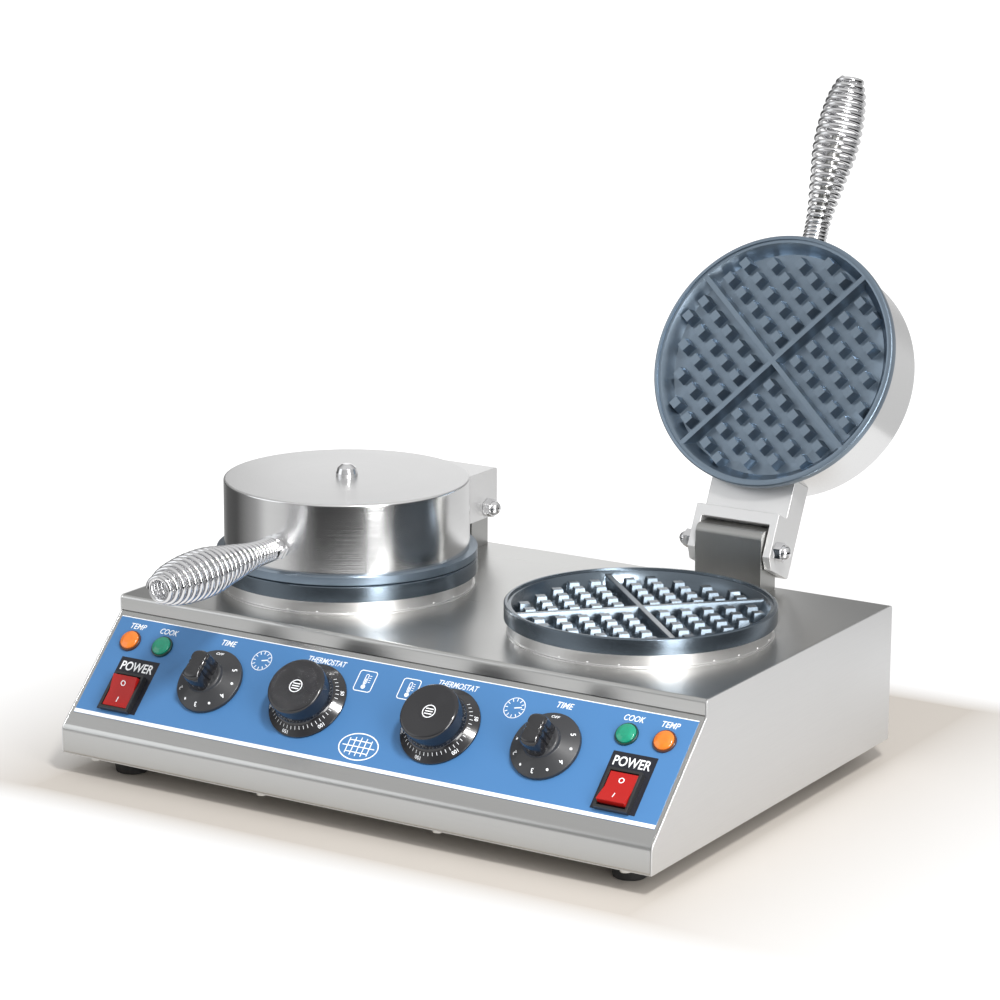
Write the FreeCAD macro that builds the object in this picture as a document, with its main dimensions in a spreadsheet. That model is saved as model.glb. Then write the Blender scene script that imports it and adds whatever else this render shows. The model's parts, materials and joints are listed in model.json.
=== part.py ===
"""Double round waffle baker: a sheet-steel casing with two hinged pairs of cast plates.

Millimetres and degrees. +X is to the user's right, +Y to the back and +Z up. The origin is on the
standing surface, under the middle of the whole object with its right lid open.
"""

import FreeCAD, Part
import math
import os
import re

import Sketcher

SIDES = {"left": -1, "right": 1}

# Every driving size: its name in the sheet, its value and what it measures.
SIZES = {
    "casingWidth": (500, "casing, side to side"),
    "casingDepth": (360, "casing, front to back"),
    "casingShift": (-60, "casing's middle, behind the origin"),
    "deckHeight": (121, "top of the deck above the standing surface"),
    "sheet": (1.2, "thickness of every casing sheet"),
    "seam": (0.1, "gap between the deck or panel and a side"),
    "flange": (14, "width of the folded flanges"),
    "deckBend": (3, "outer radius of the deck's folds"),
    "noseBend": (8, "outer radius of the panel's fold"),
    "flangeBend": (2, "outer radius of a flange's fold"),
    "lipInset": (72.9, "deck's front lip, behind the casing's front"),
    "lipDrop": (11.15, "height of the deck's front lip"),
    "panelAngle": (44.5, "slope of the control panel"),
    "panelTuck": (6, "panel's hidden stretch behind the lip"),
    "panelSeam": (0.3, "gap between the panel and the lip above it"),
    "footHeight": (15.8, "foot"),
    "footRadius": (12, "foot at the standing surface"),
    "footTopRadius": (14.5, "foot under the base"),
    "footInsetX": (37, "feet's middles inside the casing's sides"),
    "footInsetY": (36, "feet's middles inside the casing's front and back"),
    "footRecess": (8, "depth of the screw recess in a foot"),
    "baseInset": (3, "base plate's edge inside the casing's edge"),
    "screwRadius": (2, "shank of the base and foot screws"),
    "screwHeadRadius": (4, "head of the base and foot screws"),
    "screwHeadHeight": (2.4, "head of the base and foot screws"),
    "screwInset": (9, "base screws' line inside the casing's edge"),
    "screwSpacing": (150, "base screws, side to side"),
    "overlaySheet": (0.4, "thickness of the printed overlay"),
    "overlayWidth": (492, "overlay, side to side"),
    "overlayTop": (5.1, "overlay's top edge below the lip, down the slope"),
    "overlayHeight": (84.9, "overlay, down the slope"),
    "stationSpacing": (256, "plate centres, side to side"),
    "stationBack": (15.7, "plate centres behind the casing's middle"),
    "partingHeight": (143.4, "lower plate's face above the standing surface"),
    "plateGap": (0.4, "gap between the closed plates"),
    "plateRadius": (98.8, "outside of both plate rings"),
    "plateEdge": (0.8, "chamfer of the ring's corner"),
    "lowerRing": (12, "height of the lower ring"),
    "upperRing": (6.4, "height of the upper ring"),
    "rimWidth": (2.8, "width of the rim round the step"),
    "stepDepth": (1.6, "depth of the step inside the rim"),
    "stepWidth": (2.5, "width of the step inside the rim"),
    "cavityDraft": (6.5, "how far the cavity's wall runs in from the step to the floor"),
    "cavityDepth": (12, "cavity's floor below the plate's face"),
    "plateFloor": (3.5, "metal under the cavity"),
    "lowerDividerDrop": (3.3, "lower plate's dividers below its face"),
    "lowerPegDrop": (4.2, "lower plate's pegs below its face"),
    "upperDividerDrop": (1.6, "upper plate's dividers below its face"),
    "upperPegDrop": (1.8, "upper plate's pegs below its face"),
    "upperTurn": (5.4, "upper plates' turn about their studs"),
    "dividerTop": (4, "width of a divider at its top"),
    "dividerBase": (6.4, "width of a divider at its foot"),
    "pegFirst": (13.5, "first peg's centre from a divider's middle"),
    "pegPitch": (16.4, "peg to peg"),
    "pegTop": (7.2, "peg's side at its top"),
    "pegBase": (9.6, "peg's side at its foot"),
    "pegMargin": (1.5, "farthest peg's centre inside the cavity's floor"),
    "ribSeat": (0.4, "how far a divider's ends run into the cavity's wall"),
    "skirtInset": (3.3, "skirt's outside from the lower ring's outside"),
    "skirtFlange": (1.5, "width of the skirt's foot"),
    "plateFit": (0.3, "gap between a plate's body and the sheet round it"),
    "heaterRadius": (62, "heating element's ring"),
    "heaterTube": (3.2, "radius of the element's tube"),
    "leadRadius": (1.6, "element's terminals"),
    "leadSpacing": (16, "terminal to terminal"),
    "leadLength": (22, "lower element's terminals"),
    "lidLeadLength": (10, "upper element's terminals"),
    "leadHoleRadius": (3.2, "holes in the deck for the terminals"),
    "pinBack": (158.7, "hinge pin behind the casing's middle"),
    "pinHeight": (154.6, "hinge pin above the standing surface"),
    "pinRadius": (4, "hinge pin"),
    "hingeRun": (0.05, "running clearance round the hinge pin"),
    "openAngle": (115.7, "lid's full opening"),
    "columnWidth": (56, "hinge column, side to side"),
    "columnFront": (11, "column's front face ahead of the pin"),
    "columnBack": (12.8, "column's back face behind the pin"),
    "columnRise": (15.4, "column's top above the pin"),
    "columnSheet": (2, "thickness of the column's sheet"),
    "columnBend": (6, "radius of the column's top folds"),
    "forkWidth": (70, "bracket, side to side"),
    "forkSlot": (57.6, "slot between the bracket's arms"),
    "forkFront": (26.7, "fork's front step ahead of the pin"),
    "forkBack": (15.3, "fork's back face behind the pin"),
    "forkBottom": (8.6, "arms' underside below the pin"),
    "forkTop": (29.4, "bracket's top above the pin"),
    "forkChamfer": (8, "chamfer of the arms' lower back corner"),
    "forkEdge": (2, "rounding of the bracket's top back edge"),
    "slotFront": (17.7, "slot's front wall ahead of the pin"),
    "slotTop": (23.4, "slot's ceiling above the pin"),
    "blockBottom": (5.4, "block's underside above the pin"),
    "nutGap": (0.3, "gap between an arm and its nut"),
    "nutAcross": (13, "acorn nut, flat to flat"),
    "nutHex": (6.2, "height of the acorn nut's hexagon"),
    "nutDome": (5.6, "radius of the acorn nut's dome"),
    "coverInset": (5.8, "lid cover's outside from the upper ring's outside"),
    "coverTop": (60.1, "lid cover's top above the lower plate's face"),
    "coverSheet": (1.2, "thickness of the lid cover"),
    "coverEdge": (1, "rounding of the lid cover's top edge"),
    "coverNutRadius": (8.2, "domed nut on the lid cover"),
    "coverNutHeight": (9.5, "domed nut on the lid cover"),
    "studRadius": (3, "stud under the domed nut"),
    "handleHeight": (24.8, "handle's axis above the lower plate's face"),
    "handleRod": (4.5, "radius of the handle's rod"),
    "handleRoot": (12, "rod's length inside the cover"),
    "handleNutAcross": (17, "handle's lock nut, flat to flat"),
    "handleNutHeight": (6, "handle's lock nut"),
    "gripLength": (136, "wire grip"),
    "gripNeck": (9.8, "radius of the grip's ends"),
    "gripBelly": (18.2, "radius of the grip's belly"),
    "gripWall": (2, "thickness that stands for the grip's wire"),
    "gripClose": (14, "length of the close turns by the nut"),
    "gripBellyAt": (88, "grip's belly from the nut"),
    "gripSlope": (0.6, "how far the grip has swelled midway from the nut to its belly"),
    "gripShoulder": (0.82, "how far the grip is still swelled midway from its belly to its end"),
    "controlDown": (46, "knobs' axes below the lip, down the slope"),
    "knobGap": (0.5, "gap between a knob and the overlay"),
    "shaftRadius": (3, "knob shafts"),
    "shaftRun": (0.05, "running clearance round a knob shaft"),
    "shaftDepth": (14, "shaft's length behind the panel"),
    "shaftReach": (10, "shaft's length in a knob"),
    "bushRadius": (5, "bush round a knob shaft"),
    "bushGap": (0.2, "gap between a bush or lamp and the panel"),
    "timerAcross": (143, "timer knobs from the middle"),
    "timerRadius": (26, "timer knob's dial"),
    "timerDial": (8.5, "height of the timer knob's dial at its grip"),
    "timerHub": (13.5, "radius of the timer knob's grip at its foot"),
    "timerHubTop": (12, "radius of the timer knob's grip at its top"),
    "timerGripWidth": (15, "flat to flat of the timer knob's grip at its top"),
    "timerGripHeight": (26.5, "timer knob"),
    "timerBody": (46, "timer's case, each way"),
    "timerBodyDepth": (32, "timer's case behind the panel"),
    "thermostatAcross": (56.5, "thermostat knobs from the middle"),
    "thermostatRadius": (30.5, "thermostat knob's dial"),
    "thermostatDial": (6, "height of the thermostat knob's dial"),
    "thermostatCap": (22.5, "radius of the thermostat knob's cap"),
    "thermostatHeight": (22.5, "thermostat knob"),
    "thermostatDish": (1.2, "depth of the dish in the thermostat knob's top"),
    "thermostatBody": (38, "thermostat's case, each way"),
    "thermostatBodyDepth": (26, "thermostat's case behind the panel"),
    "lampDown": (25.3, "lamps' axes below the lip, down the slope"),
    "tempLampAcross": (227.6, "temperature lamps from the middle"),
    "cookLampAcross": (198, "cooking lamps from the middle"),
    "lampRadius": (8.6, "lamp's bezel"),
    "lampBezel": (2, "height of the lamp's bezel"),
    "lampLens": (7.4, "radius of the lamp's lens"),
    "lampHeight": (4.6, "lamp above the overlay"),
    "lampBody": (5.5, "radius of the lamp's body"),
    "lampDepth": (20, "lamp's body behind the panel"),
    "switchAcross": (210.7, "rocker switches from the middle"),
    "switchDown": (68.6, "rocker switches' middle below the lip, down the slope"),
    "bezelWidth": (26.4, "rocker switch's bezel, across"),
    "bezelLength": (31, "rocker switch's bezel, along the slope"),
    "bezelHeight": (5, "rocker switch's bezel above the overlay"),
    "switchWidth": (24.6, "rocker switch's case, across"),
    "switchLength": (29, "rocker switch's case, along the slope"),
    "switchDepth": (20, "rocker switch's case behind the panel"),
    "switchWall": (1.1, "rocker switch's side walls"),
    "rockerLength": (24.6, "rocker, along the slope"),
    "rockerGap": (0.3, "gap round the rocker"),
    "rockerTilt": (10, "rocker's tilt either way"),
    "rockerRise": (5, "rocker's raised ends above its trunnions"),
    "rockerDrop": (6, "rocker's underside below its trunnions"),
    "rockerFoot": (18, "length of the rocker's underside"),
    "trunnionHeight": (2, "rocker's trunnions above the panel"),
    "trunnionRadius": (1.6, "rocker's trunnions"),
    "trunnionLength": (0.8, "trunnion's length in the switch's wall"),
    "ventCount": (9, "vent slots in the back panel"),
    "ventPitch": (12, "slot to slot"),
    "ventWidth": (4, "vent slot"),
    "ventHeight": (36, "vent slot"),
    "ventBottom": (45, "vent slots above the standing surface"),
    "glandAcross": (190, "cord gland from the middle"),
    "glandHeight": (48, "cord gland above the standing surface"),
    "glandBore": (4, "radius of the cord's way through the gland"),
    "glandNeck": (8, "radius of the gland in its hole"),
    "glandFlange": (11, "radius of the gland's nuts"),
    "glandFlangeHeight": (5, "gland's nuts"),
    "glandNose": (14, "gland's tapered nose"),
    "blockLength": (70, "terminal block"),
    "blockWidth": (22, "terminal block"),
    "blockHeight": (18, "terminal block"),
    "blockAcross": (120, "terminal block from the middle"),
    "blockInset": (50, "terminal block's front face ahead of the casing's back"),
    "blockHole": (2.2, "terminal block's wire holes"),
    "blockPitch": (12, "wire hole to wire hole"),
}

# Places that several pieces share, as formulas of the sheet's cells.
CASING_FRONT = "(-casingDepth / 2)"
CASING_BACK = "(casingDepth / 2)"
CASING_BOTTOM = "(footHeight + sheet)"
INNER_WIDTH = "(casingWidth - 2 * sheet - 2 * seam)"
LIP_FACE = "(lipInset - casingDepth / 2)"
LIP_BOTTOM = "(deckHeight - lipDrop)"
PANEL_TOP_Y = "(lipInset - casingDepth / 2 + sheet)"
PANEL_TOP_Z = "(deckHeight - lipDrop - panelSeam)"
NOSE_TOP = "(deckHeight - lipDrop - panelSeam - (lipInset + sheet) * tan(panelAngle))"
PLATE_CENTRE = "(stationBack - pinBack)"
STEP_RADIUS = "(plateRadius - rimWidth)"
CAVITY_RADIUS = "(plateRadius - rimWidth - stepWidth)"
CAVITY_FLOOR = "(plateRadius - rimWidth - stepWidth - cavityDraft)"
SKIRT_RADIUS = "(plateRadius - skirtInset)"
COVER_RADIUS = "(plateRadius - coverInset)"
PARTING_BELOW_PIN = "(partingHeight - pinHeight)"
ROCKER_HALF_WIDTH = "(switchWidth / 2 - switchWall - rockerGap)"
ROCKER_SWEEP = "(sqrt(rockerLength * rockerLength / 4 + rockerRise * rockerRise) + rockerGap)"

doc = FreeCAD.newDocument("WaffleBaker")
sheet = doc.addObject("Spreadsheet::Sheet", "Sizes")
nodes = []


def fill_sheet():
    """Writes every size to a row of the sheet and gives its cell the size's name."""
    for row, (name, (size, meaning)) in enumerate(SIZES.items(), start=1):
        sheet.set(f"A{row}", meaning)
        sheet.set(f"B{row}", str(size))
        sheet.setAlias(f"B{row}", name)
    doc.recompute()


def cells(formula):
    """Turns the size names in a formula into references to the sheet's cells."""

    def cell(word):
        return f"Sizes.{word.group()}" if word.group() in SIZES else word.group()

    return re.sub(r"[A-Za-z]\w*", cell, formula)


def value(formula):
    """Works a formula out to a number."""
    return float(sheet.evalExpression(cells(formula)))


def bind(item, formulas):
    """Binds an item's properties to formulas."""
    for property_name, formula in formulas.items():
        item.setExpression(property_name, cells(formula))


def place(item, x="0", y="0", z="0", turn_about="0; 0; 1", turn="0"):
    """Binds an item's place, after a turn about an axis through its own origin."""
    formula = f"placement(vector({x}; {y}; {z}); rotation(vector({turn_about}); {turn}))"
    item.setExpression("Placement", cells(formula))
    return item


def node(item, label):
    """Marks a finished sub-part, which is written to a file of that name."""
    item.Label = label
    nodes.append(item)
    return item


def box(name, size, corner=("0", "0", "0")):
    """A block with its lowest corner at a place."""
    item = doc.addObject("Part::Box", name)
    bind(item, {"Length": size[0], "Width": size[1], "Height": size[2]})
    return place(item, *corner)


def cylinder(name, radius, height, foot=("0", "0", "0"), along="Z"):
    """A round bar that starts at foot and runs along +X, +Y or +Z."""
    item = doc.addObject("Part::Cylinder", name)
    bind(item, {"Radius": radius, "Height": height})
    turns = {"X": ("0; 1; 0", "90"), "Y": ("1; 0; 0", "-90"), "Z": ("0; 0; 1", "0")}
    return place(item, *foot, *turns[along])


def cone(name, low_radius, high_radius, height, foot=("0", "0", "0")):
    """A tapered round bar that starts at foot and runs along +Z."""
    item = doc.addObject("Part::Cone", name)
    bind(item, {"Radius1": low_radius, "Radius2": high_radius, "Height": height})
    return place(item, *foot)


def hexagon(name, across, height, foot=("0", "0", "0"), turn_about="0; 0; 1", turn="0"):
    """A hexagonal bar of a width across its flats."""
    item = doc.addObject("Part::Prism", name)
    item.Polygon = 6
    bind(item, {"Circumradius": f"{across} / 2 / cos(30)", "Height": height})
    return place(item, *foot, turn_about, turn)


def frustum(name, foot_length, foot_width, top_length, top_width, height, x, y, z):
    """A block that tapers upwards, centred over a place."""
    item = doc.addObject("Part::Wedge", name)
    bind(item, {"Xmin": f"-{foot_length} / 2", "Xmax": f"{foot_length} / 2"})
    bind(item, {"Zmin": f"-{foot_width} / 2", "Zmax": f"{foot_width} / 2"})
    bind(item, {"X2min": f"-{top_length} / 2", "X2max": f"{top_length} / 2"})
    bind(item, {"Z2min": f"-{top_width} / 2", "Z2max": f"{top_width} / 2"})
    bind(item, {"Ymin": "0", "Ymax": height})
    return place(item, x, y, z, "1; 0; 0", "90")


def compound(name, items):
    """Separate solids kept together as one object."""
    item = doc.addObject("Part::Compound", name)
    item.Links = items
    return item


def fused(name, items):
    item = doc.addObject("Part::MultiFuse", name)
    item.Shapes = items
    return item


def cut(name, base, tool):
    item = doc.addObject("Part::Cut", name)
    item.Base = base
    item.Tool = tool
    return item


def outline(body, plane, corners):
    """A closed sketch on one of the body's own planes, each corner held by two formulas."""
    sketch = body.newObject("Sketcher::SketchObject", body.Name + "Outline")
    planes = [part for part in body.Origin.OriginFeatures if part.Role == plane]
    sketch.AttachmentSupport = (planes[0], [""])
    sketch.MapMode = "FlatFace"
    points = [FreeCAD.Vector(value(across), value(up), 0) for across, up in corners]
    count = len(points)
    for index in range(count):
        line = Part.LineSegment(points[index], points[(index + 1) % count])
        sketch.addGeometry(line, False)
    for index in range(count):
        joined = Sketcher.Constraint("Coincident", index, 2, (index + 1) % count, 1)
        sketch.addConstraint(joined)
    for index, (across, up) in enumerate(corners):
        for kind, place_now, formula in (
            ("DistanceX", points[index].x, across),
            ("DistanceY", points[index].y, up),
        ):
            held = Sketcher.Constraint(kind, -1, 1, index, 1, place_now)
            number = sketch.addConstraint(held)
            sketch.setExpression(f"Constraints[{number}]", cells(formula))
    return sketch


def extruded(name, corners, width):
    """A body with an outline in Y and Z, extruded both ways along X."""
    body = doc.addObject("PartDesign::Body", name)
    pad = body.newObject("PartDesign::Pad", name + "Pad")
    sketch = outline(body, "YZ_Plane", corners)
    pad.Profile = sketch
    pad.SideType = "Symmetric"
    bind(pad, {"Length": width})
    body.Tip = pad
    doc.recompute()
    return body


def turned(name, corners):
    """A body with an outline of radius and height, turned about its Z axis."""
    body = doc.addObject("PartDesign::Body", name)
    sketch = outline(body, "XZ_Plane", corners)
    revolution = body.newObject("PartDesign::Revolution", name + "Revolution")
    revolution.Profile = sketch
    revolution.ReferenceAxis = (sketch, ["V_Axis"])
    revolution.Angle = 360
    body.Tip = revolution
    doc.recompute()
    return body


def fold(body, corner, radius):
    """Rounds the edge that runs along X through a corner of the body's outline."""
    y, z = (value(formula) for formula in corner)
    base = body.Tip
    edges = [
        f"Edge{number}"
        for number, edge in enumerate(base.Shape.Edges, start=1)
        if all(math.hypot(v.Y - y, v.Z - z) < 1e-4 for v in edge.Vertexes)
    ]
    rounding = body.newObject("PartDesign::Fillet", f"{body.Name}Fold{len(body.Group)}")
    rounding.Base = (base, edges)
    bind(rounding, {"Radius": radius})
    body.Tip = rounding
    doc.recompute()


def in_casing(item):
    """Places an item that was built about the casing's middle."""
    return place(item, y="casingShift")


def on_panel(item, across, down, rise="0", tilt="0"):
    """Places an item on the panel: its Z axis leaves the panel and its Y axis runs up the slope."""
    y = f"{PANEL_TOP_Y} - ({down}) * cos(panelAngle) - ({rise}) * sin(panelAngle) + casingShift"
    z = f"{PANEL_TOP_Z} - ({down}) * sin(panelAngle) + ({rise}) * cos(panelAngle)"
    return place(item, across, y, z, "1; 0; 0", f"panelAngle + {tilt}")


def on_deck(item, side):
    """Places an item that was built about the plate's axis and the standing surface."""
    return place(item, f"{side} * stationSpacing / 2", "stationBack + casingShift")


def on_lid(item, side):
    """Places an item that was built about the pin's axis. The right lid rests open."""
    opening = "openAngle" if side > 0 else "0"
    y = "pinBack + casingShift"
    return place(item, f"{side} * stationSpacing / 2", y, "pinHeight", "-1; 0; 0", opening)


def panel_cutters(name, bottom, height):
    """Cutters for everything that passes through the control panel, in the panel's own frame."""
    cutters = []
    for side_name, side in SIDES.items():
        for control, across, radius in (
            ("Timer", "timerAcross", "bushRadius + bushGap"),
            ("Thermostat", "thermostatAcross", "bushRadius + bushGap"),
        ):
            foot = (f"{side} * {across}", "-controlDown", bottom)
            cutters.append(cylinder(f"{name}{control}{side_name}", radius, height, foot))
        for lamp in ("tempLampAcross", "cookLampAcross"):
            foot = (f"{side} * {lamp}", "-lampDown", bottom)
            radius = "lampBody + bushGap"
            cutters.append(cylinder(f"{name}{lamp}{side_name}", radius, height, foot))
        size = ("switchWidth + 2 * bushGap", "switchLength + 2 * bushGap", height)
        corner = (
            f"{side} * switchAcross - switchWidth / 2 - bushGap",
            "-switchDown - switchLength / 2 - bushGap",
            bottom,
        )
        cutters.append(box(f"{name}Switch{side_name}", size, corner))
    return compound(name, cutters)


def base_screw_places(row):
    """Where the four base screws of the front (-1) or back (+1) row stand."""
    y = f"{row} * (casingDepth / 2 - screwInset)"
    return [(f"{step} * screwSpacing", y) for step in (-1.5, -0.5, 0.5, 1.5)]


def foot_places():
    """Where the four feet stand."""
    return [
        (f"{right} * (casingWidth / 2 - footInsetX)", f"{back} * (casingDepth / 2 - footInsetY)")
        for right in (-1, 1)
        for back in (-1, 1)
    ]


def bars(name, places, radius, bottom, height):
    """A compound of upright round bars, one at each place."""
    made = [
        cylinder(f"{name}{number}", radius, height, (x, y, bottom))
        for number, (x, y) in enumerate(places)
    ]
    return compound(name, made)


def make_deck():
    """The deck: folded down at the front into a lip and at the back into a flange."""
    inner_top = "deckHeight - sheet"
    corners = [
        (LIP_FACE, LIP_BOTTOM),
        (LIP_FACE, "deckHeight"),
        (CASING_BACK, "deckHeight"),
        (CASING_BACK, "deckHeight - flange"),
        (f"{CASING_BACK} - sheet", "deckHeight - flange"),
        (f"{CASING_BACK} - sheet", inner_top),
        (f"{LIP_FACE} + sheet", inner_top),
        (f"{LIP_FACE} + sheet", LIP_BOTTOM),
    ]
    deck = extruded("DeckSheet", corners, INNER_WIDTH)
    fold(deck, corners[1], "deckBend")
    fold(deck, corners[2], "deckBend")
    fold(deck, corners[5], "deckBend - sheet")
    fold(deck, corners[6], "deckBend - sheet")
    lead_places = [
        (f"{side} * stationSpacing / 2 + {end} * leadSpacing / 2", "stationBack - heaterRadius")
        for side in SIDES.values()
        for end in (-1, 1)
    ]
    lead_holes = bars("DeckLeadHole", lead_places, "leadHoleRadius", "deckHeight - flange", "2 * flange")
    node(in_casing(cut("TopDeck", deck, lead_holes)), "top_deck")


def make_control_panel():
    """The control panel: a slope from under the lip to the nose, and a flange under it."""
    inner_nose = f"{NOSE_TOP} + sheet * tan(panelAngle) - sheet / cos(panelAngle)"
    tucked = (
        f"{PANEL_TOP_Y} + panelTuck * cos(panelAngle)",
        f"{PANEL_TOP_Z} + panelTuck * sin(panelAngle)",
    )
    corners = [
        tucked,
        (CASING_FRONT, NOSE_TOP),
        (CASING_FRONT, CASING_BOTTOM),
        (f"{CASING_FRONT} + flange", CASING_BOTTOM),
        (f"{CASING_FRONT} + flange", f"{CASING_BOTTOM} + sheet"),
        (f"{CASING_FRONT} + sheet", f"{CASING_BOTTOM} + sheet"),
        (f"{CASING_FRONT} + sheet", inner_nose),
        (
            f"{tucked[0]} + sheet * sin(panelAngle)",
            f"{tucked[1]} - sheet * cos(panelAngle)",
        ),
    ]
    panel = extruded("PanelSheet", corners, INNER_WIDTH)
    fold(panel, corners[1], "noseBend")
    fold(panel, corners[2], "flangeBend")
    fold(panel, corners[5], "flangeBend - sheet")
    fold(panel, corners[6], "noseBend - sheet")
    cutters = panel_cutters("PanelCutters", "-2 * sheet", "4 * sheet")
    place(cutters, "0", PANEL_TOP_Y, PANEL_TOP_Z, "1; 0; 0", "panelAngle")
    holes = bars("PanelScrewHole", base_screw_places(-1), "screwRadius", "footHeight", "3 * sheet")
    tools = compound("PanelTools", [cutters, holes])
    node(in_casing(cut("ControlPanel", panel, tools)), "control_panel")


def make_overlay():
    """The printed overlay on the control panel."""
    size = ("overlayWidth", "overlayHeight", "overlaySheet")
    corner = ("-overlayWidth / 2", "-overlayTop - overlayHeight", "0")
    blank = box("OverlayBlank", size, corner)
    cutters = panel_cutters("OverlayCutters", "-sheet", "4 * sheet")
    overlay = cut("Overlay", blank, cutters)
    node(on_panel(overlay, "0", "0"), "panel_overlay")


def make_side_panels():
    """The two flat sides, whose edges follow the panel, the lip and the deck."""
    corners = [
        (CASING_FRONT, CASING_BOTTOM),
        (CASING_FRONT, NOSE_TOP),
        (LIP_FACE, f"{PANEL_TOP_Z} - sheet * tan(panelAngle)"),
        (LIP_FACE, "deckHeight"),
        (CASING_BACK, "deckHeight"),
        (CASING_BACK, CASING_BOTTOM),
    ]
    for side_name, side in SIDES.items():
        panel = extruded(f"{side_name.title()}Side", corners, "sheet")
        fold(panel, corners[1], "noseBend")
        fold(panel, corners[3], "deckBend")
        fold(panel, corners[4], "deckBend")
        across = f"{side} * (casingWidth - sheet) / 2"
        place(panel, across, "casingShift")
        node(panel, f"{side_name}_side_panel")


def make_back_panel():
    """The back panel inside the deck's flange, with vents and the cord gland's hole."""
    face = f"{CASING_BACK} - sheet"
    corners = [
        (face, CASING_BOTTOM),
        (face, "deckHeight - sheet - deckBend"),
        (f"{face} - sheet", "deckHeight - sheet - deckBend"),
        (f"{face} - sheet", f"{CASING_BOTTOM} + sheet"),
        (f"{face} - flange", f"{CASING_BOTTOM} + sheet"),
        (f"{face} - flange", CASING_BOTTOM),
    ]
    panel = extruded("BackSheet", corners, INNER_WIDTH)
    size = ("ventWidth", "4 * sheet", "ventHeight")
    inside = f"{face} - 2 * sheet"
    cutters = []
    for number in range(int(value("ventCount"))):
        corner = (f"({number} - (ventCount - 1) / 2) * ventPitch - ventWidth / 2", inside, "ventBottom")
        cutters.append(box(f"VentCutter{number}", size, corner))
    gland = ("glandAcross", inside, "glandHeight")
    cutters.append(cylinder("GlandCutter", "glandNeck", "4 * sheet", gland, "Y"))
    holes = bars("BackScrewHole", base_screw_places(1), "screwRadius", "footHeight", "3 * sheet")
    tools = compound("BackTools", cutters + [holes])
    node(in_casing(cut("BackPanel", panel, tools)), "back_panel")


def make_base():
    """The base plate with its screws, the feet and their screws."""
    width = "casingWidth - 2 * baseInset"
    depth = "casingDepth - 2 * baseInset"
    corner = (f"-({width}) / 2", f"-({depth}) / 2", "footHeight")
    blank = box("BaseBlank", (width, depth, "sheet"), corner)
    screw_places = base_screw_places(-1) + base_screw_places(1)
    holes = bars("BaseHole", screw_places + foot_places(), "screwRadius", "0", "2 * footHeight")
    node(in_casing(cut("BasePlate", blank, holes)), "base_plate")

    screws = []
    for number, (x, y) in enumerate(screw_places):
        head = ("footHeight - screwHeadHeight", "screwHeadRadius", "screwHeadHeight")
        screws.append(screw(f"BaseScrew{number}", x, y, head, "3 * sheet"))
    node(in_casing(compound("BaseScrews", screws)), "base_screws")

    feet = []
    foot_screws = []
    for number, (x, y) in enumerate(foot_places()):
        rubber = cone(f"FootCone{number}", "footRadius", "footTopRadius", "footHeight", (x, y, "0"))
        recess = cylinder(f"FootRecess{number}", "screwHeadRadius + plateFit", "footRecess", (x, y, "0"))
        way = cylinder(f"FootWay{number}", "screwRadius", "footHeight", (x, y, "0"))
        hollow = fused(f"FootHollow{number}", [recess, way])
        feet.append(cut(f"Foot{number}", rubber, hollow))
        head = ("footRecess - screwHeadHeight", "screwHeadRadius", "screwHeadHeight")
        length = "footHeight - footRecess + 4 * sheet"
        foot_screws.append(screw(f"FootScrew{number}", x, y, head, length))
    node(in_casing(compound("Feet", feet)), "feet")
    node(in_casing(compound("FootScrews", foot_screws)), "foot_screws")


def screw(name, x, y, head, length):
    """A pan-head screw that points up; head is its bottom, radius and height."""
    bottom, radius, height = head
    cap = cylinder(name + "Head", radius, height, (x, y, bottom))
    shank = cylinder(name + "Shank", "screwRadius", length, (x, y, f"{bottom} + {height}"))
    return fused(name, [cap, shank])


def make_cord_entry():
    """The cord gland in the back panel and the terminal block inside, each one solid."""
    length = "(2 * glandFlangeHeight + glandNose + sheet)"
    inner = "glandFlangeHeight"
    outer = f"{inner} + sheet"
    tip = f"{outer} + glandFlangeHeight"
    corners = [
        ("glandBore", "0"),
        ("glandFlange", "0"),
        ("glandFlange", inner),
        ("glandNeck", inner),
        ("glandNeck", outer),
        ("glandFlange", outer),
        ("glandFlange", tip),
        ("glandNeck", f"{tip} + 1"),
        ("glandBore + 2", length),
        ("glandBore", length),
    ]
    gland = turned("CordGland", corners)
    y = f"{CASING_BACK} - 2 * sheet - glandFlangeHeight + casingShift"
    place(gland, "glandAcross", y, "glandHeight", "1; 0; 0", "-90")
    node(gland, "cord_gland")

    bottom = CASING_BOTTOM
    front = f"({CASING_BACK} - blockInset)"
    corner = ("blockAcross", front, bottom)
    blank = box("BlockBlank", ("blockLength", "blockWidth", "blockHeight"), corner)
    holes = []
    for number in range(5):
        x = f"blockAcross + blockLength / 2 + ({number} - 2) * blockPitch"
        foot = (x, f"{front} - 1", f"{bottom} + blockHeight / 2")
        holes.append(cylinder(f"BlockHole{number}", "blockHole", "blockWidth + 2", foot, "Y"))
    block = cut("TerminalBlock", blank, compound("BlockHoles", holes))
    node(in_casing(block), "terminal_block")


def peg_rows():
    """The pegs' places in one quarter, as steps from the two dividers beside it."""
    first, pitch = value("pegFirst"), value("pegPitch")
    reach = value(f"{CAVITY_FLOOR} - pegMargin")
    steps = range(int(reach / pitch) + 1)
    return [
        (across, along)
        for across in steps
        for along in steps
        if math.hypot(first + across * pitch, first + along * pitch) <= reach
    ]


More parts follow.
